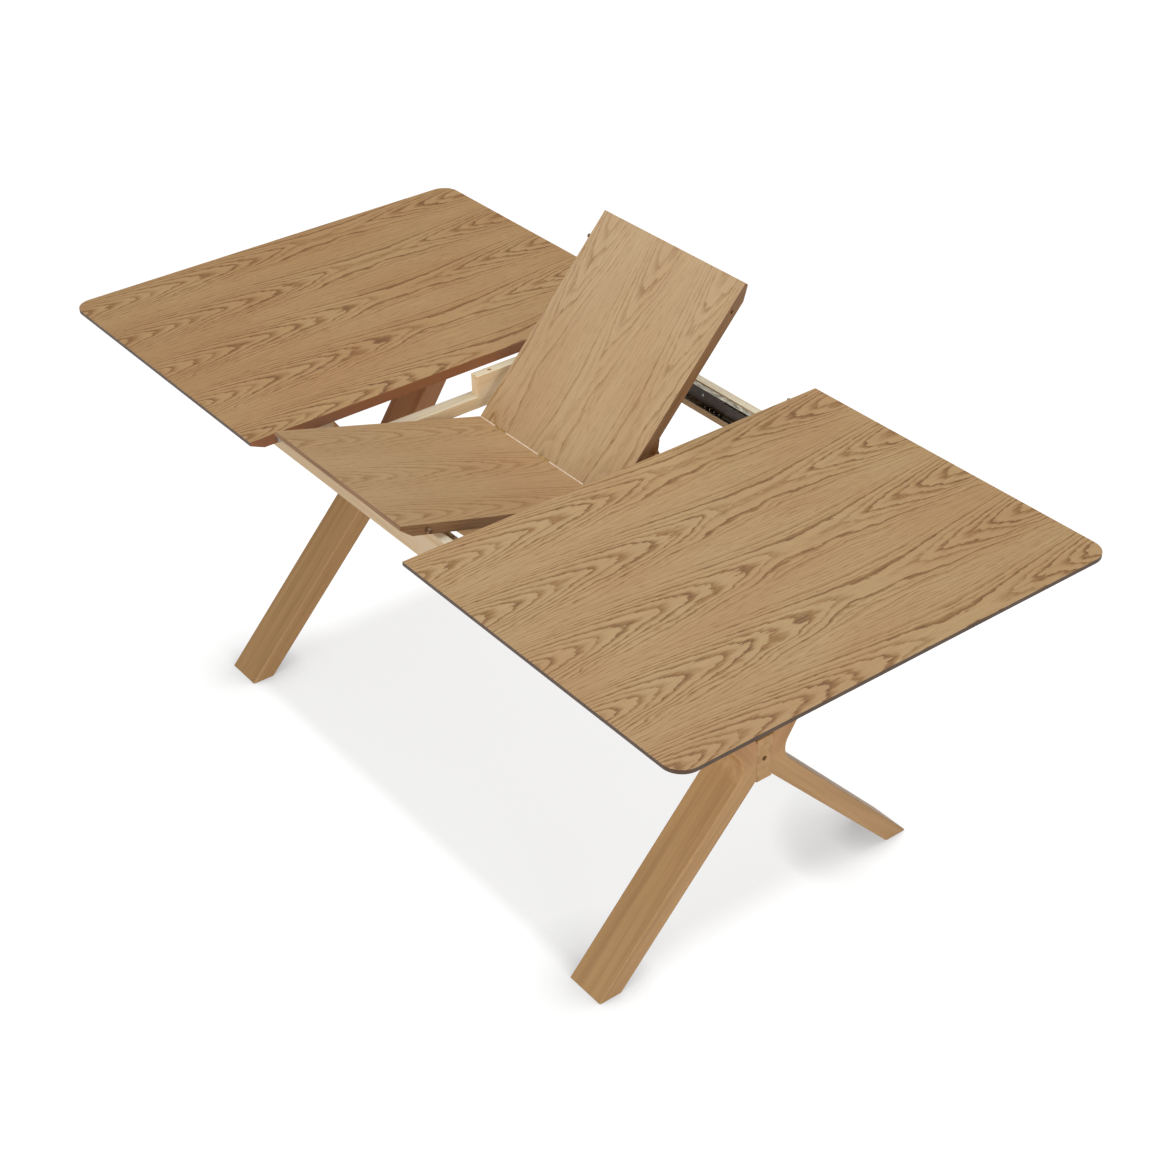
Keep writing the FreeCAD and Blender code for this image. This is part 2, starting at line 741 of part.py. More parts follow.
def cross_bar(label, turned):
    """Cross bar between the centre rails, with a stub tenon at each end."""
    x0, x1 = z.bar_in, z.bar_in + z.bar_wide
    body = box_body(label, x0, x1, -rail_in, rail_in, bar_low, bar_low + z.bar_high)
    sketch = new_sketch(body, "XZ", -(rail_in + z.tenon_long))
    draw_box(sketch, *tenon_box(1))
    add_pad(body, sketch, (rail_in + z.tenon_long) * 2)
    drill(body, "XY", bar_low + z.bar_high, post_screw_points(turned), z.screw_radius + z.fit,
          z.screw_bite + z.bore_over, False, SCREW_SIDES)
    place(body, 0, 0, 0, turned)


def pivot_y(turned):
    """The leaf pivot's Y in the frame of a piece that may be turned."""
    return z.pivot_out * (-1 if turned else 1)


def post_screw_points(turned):
    x = z.bar_in + z.post_wide / 2
    reach = z.post_long / 2 - z.post_screw_in
    return [(x, pivot_y(turned) + reach * end) for end in (-1, 1)]


def pivot_block(label, turned):
    """Block on the cross bar that carries the leaf's pivot bush."""
    y = pivot_y(turned)
    body = box_body(label, z.bar_in, z.bar_in + z.post_wide, y - z.post_long / 2,
                    y + z.post_long / 2, post_low, post_top)
    drill(body, "YZ", z.bar_in + z.post_wide + z.overrun, [(y, surface - z.pivot_drop)],
          z.pivot_radius + z.bush_wall + z.fit, z.post_wide + z.overrun * 2, False, BUSH_SIDES)
    drill(body, "XY", post_top + z.overrun, post_screw_points(turned),
          z.screw_radius + z.fit, post_top - post_low + z.overrun * 2, False, SCREW_SIDES)
    drill(body, "XY", post_top + z.overrun, post_screw_points(turned),
          z.screw_head + z.head_fit, post_top - post_low - z.bearer_thick + z.overrun, False,
          SCREW_SIDES)
    place(body, 0, 0, 0, turned)


def block_screws(label):
    """Screws down through the pivot blocks into the cross bars, heads deep in their holes."""
    body = new_body(label)
    points = post_screw_points(False)
    points += [(-x, -y) for x, y in post_screw_points(True)]
    seat = post_low + z.bearer_thick
    rods(body, "XY", seat, points, z.screw_radius, z.bearer_thick + z.screw_bite, True,
         SCREW_SIDES)
    rods(body, "XY", seat, points, z.screw_head, z.head_thick, False, SCREW_SIDES)
    place(body)


def pivot_bush(label, turned):
    """Flanged bush in the pivot block."""
    centre = [(pivot_y(turned), surface - z.pivot_drop)]
    body = new_body(label)
    outer = z.pivot_radius + z.bush_wall
    rods(body, "YZ", z.bar_in, centre, outer, z.bush_long, False, BUSH_SIDES)
    rods(body, "YZ", z.bar_in, centre, outer + z.bush_flange, z.flange_thick, True, BUSH_SIDES)
    drill(body, "YZ", z.bar_in + z.bush_long + z.overrun, centre, z.pivot_radius + z.fit,
          z.bush_long + z.flange_thick + z.overrun * 2)
    place(body, 0, 0, 0, turned)


# The leaf's pieces are drawn flat, with their origin on the fold line at the top surface,
# and then leaned: the far panel about its pivot, the near one about the fold.
def cosine(angle):
    return Size(math.cos(math.radians(angle.value)), "cos(%s * 1 deg)" % angle.text)


def sine(angle):
    return Size(math.sin(math.radians(angle.value)), "sin(%s * 1 deg)" % angle.text)


fold_y = z.pivot_out - z.pivot_out * cosine(z.far_raise) - z.pivot_drop * sine(z.far_raise)
fold_z = (surface - z.pivot_drop - z.pivot_out * sine(z.far_raise)
          + z.pivot_drop * cosine(z.far_raise))


def lean(item, side):
    """Leans a piece of the leaf: side is 1 on the far panel and -1 on the near one."""
    angle = z.far_raise if side > 0 else z.near_raise
    turn = Rotation(Vector(side, 0, 0), angle.value)
    item.Placement = Placement(Vector(0, fold_y.value, fold_z.value), turn)
    bind(item, ".Placement.Rotation.Angle", Size(angle.value, "%s * 1 deg" % angle.text))
    bind(item, ".Placement.Base.y", fold_y)
    bind(item, ".Placement.Base.z", fold_z)


def hinge_centres():
    return [z.hinge_step * share for share in (-1, 0, 1)]


def hinge_screw_points():
    height = -(z.hinge_high + z.knuckle_radius) / 2
    return [(x + z.hinge_long * share, height)
            for x in hinge_centres() for share in PLATE_SCREW_SHARES]


def leaf_panel(label, side):
    """Half of the leaf, with pockets in its fold edge for the hinges."""
    body = new_body(label)
    sketch = new_sketch(body, "XY", -z.top_thick)
    draw_box(sketch, -half_leaf, half_leaf, z.seam_half * side, half_wide * side)
    add_pad(body, sketch, z.top_thick)
    outer = half_wide.value - z.overrun.value
    bevel_under(body, -z.top_thick, lambda p: p.y * side > outer)
    spare = z.hinge_gap
    for x in hinge_centres():
        x0, x1 = x - z.hinge_long / 2 - spare, x + z.hinge_long / 2 + spare
        pocket = new_sketch(body, "XZ", -(z.seam_half - z.overrun) * side)
        draw_box(pocket, x0, x1, -z.hinge_high - spare, z.overrun)
        add_pocket(body, pocket, z.overrun + z.hinge_thick, side < 0)
        drill(body, "YZ", x1, [(0, 0)], z.knuckle_radius + spare * 2, z.hinge_long + spare * 2,
              False, DOWEL_SIDES)
    drill(body, "XZ", -(z.seam_half - z.overrun) * side, hinge_screw_points(),
          z.small_radius + z.fit, z.overrun + z.hinge_thick + z.small_bite + z.bore_over,
          side < 0, SCREW_SIDES)
    row = [(pin_y * side, -z.top_thick / 2)]
    pin_end, socket_end = (-1, 1) if side > 0 else (1, -1)
    drill(body, "YZ", half_leaf * pin_end, row, z.pin_radius + z.fit,
          z.pin_hold + z.bore_over, pin_end < 0)
    drill(body, "YZ", half_leaf * socket_end, row, z.pin_radius + z.socket_fit,
          z.pin_reach + z.bore_over, socket_end < 0)
    if side > 0:
        drill(body, "XY", -z.top_thick, bracket_screw_points(), z.small_radius + z.fit,
              z.small_bite + z.bore_over, True, SCREW_SIDES)
    lean(body, side)


def bracket_screw_points(ends=(-1, 1)):
    x = half_leaf - z.bracket_inset - z.plate_wide / 2
    return [(x * end, z.pivot_out + z.plate_long * share)
            for end in ends for share in PLATE_SCREW_SHARES]


def leaf_pin(label, side):
    """Alignment pin that stands out of one edge of a leaf panel."""
    body = new_body(label)
    end = -1 if side > 0 else 1
    start = (half_leaf + z.pin_reach) * end
    rods(body, "YZ", start, [(pin_y * side, -z.top_thick / 2)], z.pin_radius,
         z.pin_reach + z.pin_hold, end > 0)
    lean(body, side)


def hinge_plates(label, side):
    """Steel plates of the three fold hinges: two outer knuckles far, a middle one near."""
    body = new_body(label)
    face = new_sketch(body, "XZ", -z.seam_half * side)
    third = z.hinge_long * KNUCKLE_SHARE
    half = z.hinge_long / 2
    low = -z.hinge_high
    shoulder = -(z.knuckle_radius + z.hinge_gap * 2)
    eyes = []
    for x in hinge_centres():
        if side > 0:
            tabs = [(x - half, x - third - z.hinge_gap), (x + third + z.hinge_gap, x + half)]
            (a, b), (c, d) = tabs
            draw_outline(face, [(a, low), (d, low), (d, 0), (c, 0), (c, shoulder),
                                (b, shoulder), (b, 0), (a, 0)])
        else:
            tabs = [(x - third + z.hinge_gap, x + third - z.hinge_gap)]
            (a, b), = tabs
            draw_outline(face, [(x - half, low), (x + half, low), (x + half, shoulder),
                                (b, shoulder), (b, 0), (a, 0), (a, shoulder),
                                (x - half, shoulder)])
        eyes += tabs
    add_pad(body, face, z.hinge_thick, side > 0)
    for start, end in eyes:
        rods(body, "YZ", start, [(0, 0)], z.knuckle_radius, end - start, False, DOWEL_SIDES)
    far_end = z.hinge_step + z.hinge_long / 2 + z.overrun
    drill(body, "YZ", far_end, [(0, 0)], z.hinge_pin_radius + z.fit, far_end * 2, False,
          BUSH_SIDES)
    drill(body, "XZ", -(z.seam_half - z.overrun) * side, hinge_screw_points(),
          z.small_radius + z.fit, z.overrun * 2, side < 0, SCREW_SIDES)
    drill(body, "XZ", -(z.seam_half - z.overrun) * side, hinge_screw_points(),
          z.small_head + z.fit, z.overrun + z.small_head_thick, side < 0, SCREW_SIDES)
    lean(body, side)


def hinge_screws(label, side):
    body = new_body(label)
    seat = z.seam_half + z.small_head_thick
    rods(body, "XZ", -seat * side, hinge_screw_points(), z.small_radius,
         z.small_bite + z.hinge_thick - z.small_head_thick, side > 0, SCREW_SIDES)
    rods(body, "XZ", -seat * side, hinge_screw_points(), z.small_head, z.small_head_thick,
         side < 0, SCREW_SIDES)
    lean(body, side)


def hinge_pins(label):
    body = new_body(label)
    for x in hinge_centres():
        rods(body, "YZ", x - z.hinge_long / 2, [(0, 0)], z.hinge_pin_radius, z.hinge_long)
    lean(body, 1)


def pivot_bracket(label, end):
    """Bracket under the far panel, with the stud that the leaf turns on."""
    body = new_body(label)
    outer = half_leaf - z.bracket_inset
    y0, y1 = z.pivot_out - z.plate_long / 2, z.pivot_out + z.plate_long / 2
    foot = new_sketch(body, "XY", -(z.top_thick + z.plate_thick))
    draw_box(foot, (outer - z.plate_wide) * end, outer * end, y0, y1)
    add_pad(body, foot, z.plate_thick)
    ear = new_sketch(body, "YZ", outer * end)
    draw_outline(ear, [(y0, -z.top_thick), (y0, -(z.top_thick + z.plate_thick)),
                       (z.pivot_out - z.ear_radius, -z.pivot_drop),
                       (z.pivot_out + z.ear_radius, -z.pivot_drop),
                       (y1, -(z.top_thick + z.plate_thick)), (y1, -z.top_thick)])
    add_pad(body, ear, z.plate_thick, end > 0)
    centre = [(z.pivot_out, -z.pivot_drop)]
    rods(body, "YZ", outer * end, centre, z.ear_radius, z.plate_thick, end > 0)
    rods(body, "YZ", (outer - z.plate_thick) * end, centre, z.pivot_radius,
         z.bar_in + z.bush_long - outer + z.plate_thick, end < 0)
    drill(body, "XY", -z.top_thick + z.overrun, bracket_screw_points((end,)),
          z.small_radius + z.fit, z.overrun + z.plate_thick * 2, False, SCREW_SIDES)
    lean(body, 1)


def bracket_screws(label):
    body = new_body(label)
    seat = -(z.top_thick + z.plate_thick)
    rods(body, "XY", seat, bracket_screw_points(), z.small_radius, z.plate_thick + z.small_bite,
         False, SCREW_SIDES)
    rods(body, "XY", seat, bracket_screw_points(), z.small_head, z.small_head_thick, True,
         SCREW_SIDES)
    lean(body, 1)


def half_table(hand, turned):
    """One half top with its pedestal, runners and inner slide members."""
    sides = {"near": 1, "far": -1} if turned else {"near": -1, "far": 1}
    half_top("top_" + hand, turned)
    top_pin("top_pin_" + hand, turned)
    top_screws("top_screws_" + hand, turned)
    bearer("bearer_" + hand, turned)
    waist_block("waist_block_" + hand, turned)
    waist_connector("waist_bolt_" + hand, turned)
    dowels("dowels_" + hand, turned)
    slide_screws("slide_screws_" + hand, turned)
    ball_strips("ball_strips_" + hand, turned)
    for name, side in sides.items():
        leg("leg_%s_%s" % (hand, name), side, turned)
        runner("runner_%s_%s" % (hand, name), side, turned)
        slide_inner("slide_inner_%s_%s" % (hand, name), side, turned)


def centre_frame():
    """Rails, cross bars and pivot blocks between the two halves, with the outer slides."""
    inward = z.slide_start
    outward = -(z.slide_start + z.slide_long)
    for near_far, turned in (("near", False), ("far", True)):
        rail("rail_" + near_far, turned)
        right, left = (outward, inward) if turned else (inward, outward)
        for hand, start, way in (("right", right, 1), ("left", left, -1)):
            shift = half_open * MEMBER_SHARE * (-way if turned else way)
            slide_outer("slide_outer_%s_%s" % (hand, near_far), start, turned)
            slide_middle_member("slide_middle_%s_%s" % (hand, near_far), start + shift, turned)
    for hand, turned in (("right", False), ("left", True)):
        cross_bar("cross_bar_" + hand, turned)
        pivot_block("pivot_block_" + hand, turned)
        pivot_bush("pivot_bush_" + hand, turned)
    block_screws("block_screws")
    frame_slide_screws("frame_slide_screws")


def leaf():
    for name, side in (("near", -1), ("far", 1)):
        leaf_panel("leaf_" + name, side)
        leaf_pin("leaf_pin_" + name, side)
        hinge_plates("hinge_plates_" + name, side)
        hinge_screws("hinge_screws_" + name, side)
    hinge_pins("hinge_pins")
    pivot_bracket("pivot_bracket_right", 1)
    pivot_bracket("pivot_bracket_left", -1)
    bracket_screws("bracket_screws")


def check_and_save():
    doc.recompute()
    for item in doc.Objects:
        if "Invalid" in item.State or "Error" in item.State:
            raise RuntimeError("%s failed: %s" % (item.Label, item.State))
    for pocket in cuts:
        whole = pocket.BaseFeature.Shape.Volume
        if pocket.Shape.Volume > whole * (1 - UNCUT_SHARE):
            raise RuntimeError("%s cuts nothing" % pocket.Name)
    for node in nodes:
        if node.Shape.isNull() or not node.Shape.isValid():
            raise RuntimeError("%s has no valid shape" % node.Label)
    os.makedirs("parts", exist_ok=True)
    for node in nodes:
        node.Shape.exportStep("parts/%s.step" % node.Label)
        print(node.Label, len(node.Shape.Solids), round(node.Shape.Volume))


half_table("right", False)
half_table("left", True)
centre_frame()
leaf()
check_and_save()
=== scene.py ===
"""Extending dining table: finishes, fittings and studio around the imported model.

Lengths named _mm are millimetres; Blender works in metres. X runs along the table, +Y is the far
side and Z is up from the floor.
"""

import json
import math

import bmesh
import bpy
import numpy as np
from mathutils import Euler, Matrix, Vector


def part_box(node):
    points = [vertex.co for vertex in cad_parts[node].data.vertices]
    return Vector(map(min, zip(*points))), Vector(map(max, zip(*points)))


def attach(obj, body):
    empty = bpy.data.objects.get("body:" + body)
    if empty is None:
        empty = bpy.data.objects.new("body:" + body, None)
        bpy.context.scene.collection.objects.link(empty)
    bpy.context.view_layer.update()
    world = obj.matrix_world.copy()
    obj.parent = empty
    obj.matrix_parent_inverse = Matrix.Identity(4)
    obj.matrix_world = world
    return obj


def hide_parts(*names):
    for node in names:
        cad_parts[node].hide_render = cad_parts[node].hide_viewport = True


bl_info = {
    "name": "Extending table finishes",
    "version": (1, 0, 0),
    "blender": (4, 5, 0),
    "location": "View3D > Sidebar > Table",
    "description": "Oak, beech and steel finishes, fittings and a studio for an extending table",
    "category": "Object",
}

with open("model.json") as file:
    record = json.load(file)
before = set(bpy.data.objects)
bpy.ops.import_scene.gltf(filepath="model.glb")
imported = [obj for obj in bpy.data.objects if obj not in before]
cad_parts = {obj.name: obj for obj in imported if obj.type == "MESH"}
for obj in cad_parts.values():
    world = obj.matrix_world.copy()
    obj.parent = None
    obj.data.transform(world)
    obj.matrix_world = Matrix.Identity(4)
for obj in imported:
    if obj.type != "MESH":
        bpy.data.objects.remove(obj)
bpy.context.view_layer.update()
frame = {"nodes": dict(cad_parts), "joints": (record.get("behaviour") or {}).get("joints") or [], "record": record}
NODES = frame["nodes"]
JOINTS = {joint["name"]: joint for joint in frame["joints"]}
MM = 0.001
# Corners this near to each other are one.
WELD = 1e-6


def linear(code):
    """An sRGB hex colour as linear RGBA."""
    parts = [int(code[i:i + 2], 16) / 255 for i in (1, 3, 5)]
    lit = [c / 12.92 if c <= 0.04045 else ((c + 0.055) / 1.055) ** 2.4 for c in parts]
    return (*lit, 1.0)


def add_node(tree, kind, inputs=None, **settings):
    """Adds a node to the tree with its settings, and its values or links by socket."""
    node = tree.nodes.new(kind)
    for name, value in settings.items():
        setattr(node, name, value)
    for key, value in (inputs or {}).items():
        if isinstance(value, bpy.types.NodeSocket):
            tree.links.new(value, node.inputs[key])
        else:
            node.inputs[key].default_value = value
    return node


def add_stops(ramp, stops):
    """Sets a colour ramp's stops from pairs of a place and a hex or linear colour."""
    elements = ramp.color_ramp.elements
    while len(elements) < len(stops):
        elements.new(0.5)
    for element, (place, code) in zip(elements, stops):
        element.position = place
        element.color = linear(code) if isinstance(code, str) else (*code, 1)
    return ramp.outputs["Color"]


def new_material(name):
    """A material with a Principled surface; returns the material, its tree and its surface."""
    material = bpy.data.materials.new(name)
    material.use_nodes = True
    tree = material.node_tree
    surface = next(n for n in tree.nodes if n.type == "BSDF_PRINCIPLED")
    return material, tree, surface


MATH = "ShaderNodeMath"
NOISE = "ShaderNodeTexNoise"
RANGE = "ShaderNodeMapRange"
VECTOR = "ShaderNodeVectorMath"

# How deep an open pore is drawn.
PORE_DEPTH = 0.2 * MM

# Where each board's strip 0 has its middle along X in millimetres, the strength of its figure and
# its tint.
BOARDS = {
    "top_right": (297.6, 1.15, (0.985, 0.938, 0.878)),
    "top_left": (-894.6, 1.2, (0.985, 0.892, 0.79)),
    "leaf_far": (-4.0, 0.55, (1.01, 1.0, 1.04)),
    "leaf_near": (8.0, 0.62, (1.03, 0.98, 0.99)),
}
# Which way a half top's inner edge looks along X, and a leaf panel's side of the fold along Y.
INNER_EDGES = {"top_right": -1, "top_left": 1}
LEAF_SIDES = {"leaf_far": 1, "leaf_near": -1}

# The veneer's real sizes: a strip's width, a slice's thickness and a year's growth.
STRIP_MM = 157
SLICE_MM = 0.9
RING_MM = 5.0
# Rings leave their even pitch by up to this much, over about this distance.
RING_CHANGE_MM = 7.0
RING_CHANGE_OVER_MM = 13
# Where the arches pinch in along Y, how far strips differ in that, and how high above the heart of
# the log slice 0 is cut there.
PINCH_MM = 120
PINCH_SPREAD_MM = 46
CUT_HEIGHT_MM = 86
# The cut falls towards the heart by this slope, past a bow of this size round the pinch.
CUT_SLOPE = 0.105
BOW_MM = 160
# How far slow waves move the cut's height and a strip's heart, and ragged steps move a ring.
HEIGHT_WAVE_MM = 11.0
HEART_WAVE_MM = 16.0
RAGGED_MM = 4.4
# How much the rings are pulled in beside the heart, which points the arches' tips.
POINTED_SHARE = 0.07
# The figure is strong this near to a strip's heart, and past the flank it is only faint lines.
HEART_MM = 34
FLANK_MM = 68
FLANK_SHARE = 0.42
# The share of a ring that fades from dark, and the share in which it starts.
EARLY_SHARE = 0.66
START_SHARE = 0.05
# How much the arches change from one slice to the next.
SLICE_CHANGE = 0.12
# Strength of the fine teeth beside the ragged steps.
TEETH_SHARE = 0.55

# The arches' noise: its lumps' width and length in millimetres, its detail and roughness. The fine
# teeth are the width of a few fibres, drawn 3 mm wide.
SLOW_WAVES = (34, 110, 2.0, 0.45)
RAGGED_STEPS = (7, 26, 3.0, 0.6)
FINE_TEETH = (3.0, 60, 2.0, 0.7)

# The surface's noise: its lumps' size in millimetres, its detail and roughness. Fibres are drawn
# 3 mm wide and open pores 2 mm wide and 25 mm long: real pores are 0.3 mm, too fine to show.
FIBRES = ((3.0, 110, 3.0), 3.0, 0.65)
PORES = ((1.9, 26, 1.9), 1.5, 0.5)
CLOUDS = ((120, 260, 120), 1.0, 0.5)
LIPPING = ((80, 80, 1.6), 3.0, 0.5)


def panel_mapping(side):
    """Location and turn that lay a leaned leaf panel flat: side 1 is far, -1 is near."""
    pivot, fold = JOINTS["leaf_pivot"], JOINTS["leaf_fold"]
    far_lean = -pivot["range_deg"][0]
    ratio = next(c["ratio"] for c in frame["record"]["behaviour"]["couplings"]
                 if c["joint"] == "leaf_fold")
    lean = far_lean if side > 0 else far_lean * ratio - far_lean
    turn = -math.radians(lean) * side
    location = -(Matrix.Rotation(turn, 3, "X") @ Vector(fold["pos_m"]))
    return tuple(location), turn


def board_coordinates(tree, location, turn):
    """A board laid flat: its place in millimetres, its X and Y, and its faces' rise."""
    spot = add_node(tree, "ShaderNodeTexCoord").outputs
    flat = add_node(tree, "ShaderNodeMapping", {
        "Vector": spot["Object"], "Location": location, "Rotation": (turn, 0, 0)}).outputs[0]
    scaled = add_node(tree, VECTOR, {0: flat, "Scale": 1 / MM}, operation="SCALE").outputs[0]
    x, y = add_node(tree, "ShaderNodeSeparateXYZ", {0: scaled}).outputs[:2]
    faces = add_node(tree, "ShaderNodeVectorRotate", {
        "Vector": spot["Normal"], "Angle": turn}, rotation_type="X_AXIS").outputs[0]
    rise = add_node(tree, "ShaderNodeSeparateXYZ", {0: faces}).outputs[2]
    return scaled, x, y, rise


def strips(tree, x, middle_mm):
    """The strip that a place is on: its number, the place across it and its random values."""
    shifted = add_node(tree, MATH, {0: x, 1: middle_mm}, operation="SUBTRACT").outputs[0]
    count = add_node(tree, MATH, {0: shifted, 1: STRIP_MM}, operation="DIVIDE").outputs[0]
    index = add_node(tree, MATH, {0: count}, operation="ROUND").outputs[0]
    part = add_node(tree, MATH, {0: count, 1: index}, operation="SUBTRACT").outputs[0]
    across = add_node(tree, MATH, {0: part, 1: STRIP_MM}, operation="MULTIPLY").outputs[0]
    chance = add_node(tree, "ShaderNodeTexWhiteNoise", {"W": index},
                      noise_dimensions="1D").outputs["Color"]
    chances = add_node(tree, "ShaderNodeSeparateColor", {0: chance}).outputs
    return index, across, chances


def ring_radius(tree, y, index, across, chances):
    """How far from the log's heart a strip cuts at a place, and the place from its own heart."""
    layer = add_node(tree, MATH, {0: index, 1: SLICE_CHANGE}, operation="MULTIPLY").outputs[0]
    place = add_node(tree, "ShaderNodeCombineXYZ", {0: across, 1: y, 2: 0.0}).outputs[0]
    found = []
    for wide, long, detail, roughness in (SLOW_WAVES, RAGGED_STEPS, FINE_TEETH):
        lumps = add_node(tree, VECTOR, {
            0: place, 1: (1 / wide, 1 / long, 0)}, operation="MULTIPLY").outputs[0]
        found.append(add_node(tree, NOISE, {
            "Vector": lumps, "W": layer, "Scale": 1.0, "Detail": detail,
            "Roughness": roughness}, noise_dimensions="4D").outputs["Fac"])
    slow, rough, fine = found
    slow_push = add_node(tree, MATH, {0: slow, 1: 0.5}, operation="SUBTRACT").outputs[0]
    toothed = add_node(tree, MATH, {0: fine, 1: TEETH_SHARE, 2: rough},
                       operation="MULTIPLY_ADD").outputs[0]
    rough_push = add_node(tree, MATH, {0: toothed, 1: (1 + TEETH_SHARE) / 2},
                          operation="SUBTRACT").outputs[0]

    # The cut's height above the heart of the log falls away on both sides of the pinch.
    jump = add_node(tree, MATH, {
        0: chances[0], 1: PINCH_SPREAD_MM, 2: -PINCH_MM - PINCH_SPREAD_MM / 2},
        operation="MULTIPLY_ADD").outputs[0]
    along = add_node(tree, MATH, {0: y, 1: jump}, operation="ADD").outputs[0]
    square = add_node(tree, MATH, {0: along, 1: along}, operation="MULTIPLY").outputs[0]
    bowed = add_node(tree, MATH, {0: square, 1: BOW_MM ** 2}, operation="ADD").outputs[0]
    bow = add_node(tree, MATH, {0: bowed}, operation="SQRT").outputs[0]
    sliced = add_node(tree, MATH, {0: index, 1: SLICE_MM, 2: CUT_HEIGHT_MM + CUT_SLOPE * BOW_MM},
                      operation="MULTIPLY_ADD").outputs[0]
    fall = add_node(tree, MATH, {0: bow, 1: -CUT_SLOPE, 2: sliced},
                    operation="MULTIPLY_ADD").outputs[0]
    height = add_node(tree, MATH, {0: slow_push, 1: HEIGHT_WAVE_MM, 2: fall},
                      operation="MULTIPLY_ADD").outputs[0]
    wander = add_node(tree, MATH, {0: slow_push, 1: HEART_WAVE_MM, 2: across},
                      operation="MULTIPLY_ADD").outputs[0]
    wide = add_node(tree, MATH, {0: wander, 1: wander}, operation="MULTIPLY").outputs[0]
    both = add_node(tree, MATH, {0: height, 1: height, 2: wide},
                    operation="MULTIPLY_ADD").outputs[0]
    reach = add_node(tree, MATH, {0: both}, operation="SQRT").outputs[0]
    distance = add_node(tree, MATH, {0: wander}, operation="ABSOLUTE").outputs[0]
    radius = add_node(tree, MATH, {0: distance, 1: POINTED_SHARE, 2: reach},
                      operation="MULTIPLY_ADD").outputs[0]
    ragged = add_node(tree, MATH, {0: rough_push, 1: RAGGED_MM, 2: radius},
                      operation="MULTIPLY_ADD").outputs[0]
    return ragged, distance


def growth_rings(tree, radius):
    """How dark the ring at a radius draws: every ring starts dark at once and fades."""
    # Rings differ in width from year to year.
    stretch = add_node(tree, MATH, {0: radius, 1: 1 / RING_CHANGE_OVER_MM},
                       operation="MULTIPLY").outputs[0]
    years = add_node(tree, NOISE, {"W": stretch, "Scale": 1.0, "Detail": 1.0},
                     noise_dimensions="1D").outputs["Fac"]
    aged = add_node(tree, MATH, {0: years, 1: RING_CHANGE_MM, 2: radius},
                    operation="MULTIPLY_ADD").outputs[0]
    rings = add_node(tree, MATH, {0: aged, 1: RING_MM}, operation="DIVIDE").outputs[0]
    year = add_node(tree, MATH, {0: rings}, operation="FLOOR").outputs[0]
    grown = add_node(tree, MATH, {0: rings, 1: year}, operation="SUBTRACT").outputs[0]
    season = add_node(tree, "ShaderNodeTexWhiteNoise", {"W": year},
                      noise_dimensions="1D").outputs["Value"]
    early = add_node(tree, RANGE, {0: grown, 1: 0.0, 2: EARLY_SHARE, 3: 1.0, 4: 0.0},
                     interpolation_type="SMOOTHSTEP").outputs[0]
    start = add_node(tree, RANGE, {0: grown, 1: 0.0, 2: START_SHARE, 3: 0.0, 4: 1.0}).outputs[0]
    early_edge = add_node(tree, MATH, {0: early, 1: start}, operation="MULTIPLY").outputs[0]
    # Some years draw stronger than others.
    strength = add_node(tree, MATH, {0: season, 1: 0.6, 2: 0.55},
                        operation="MULTIPLY_ADD").outputs[0]
    return add_node(tree, MATH, {0: early_edge, 1: strength}, operation="MULTIPLY").outputs[0]


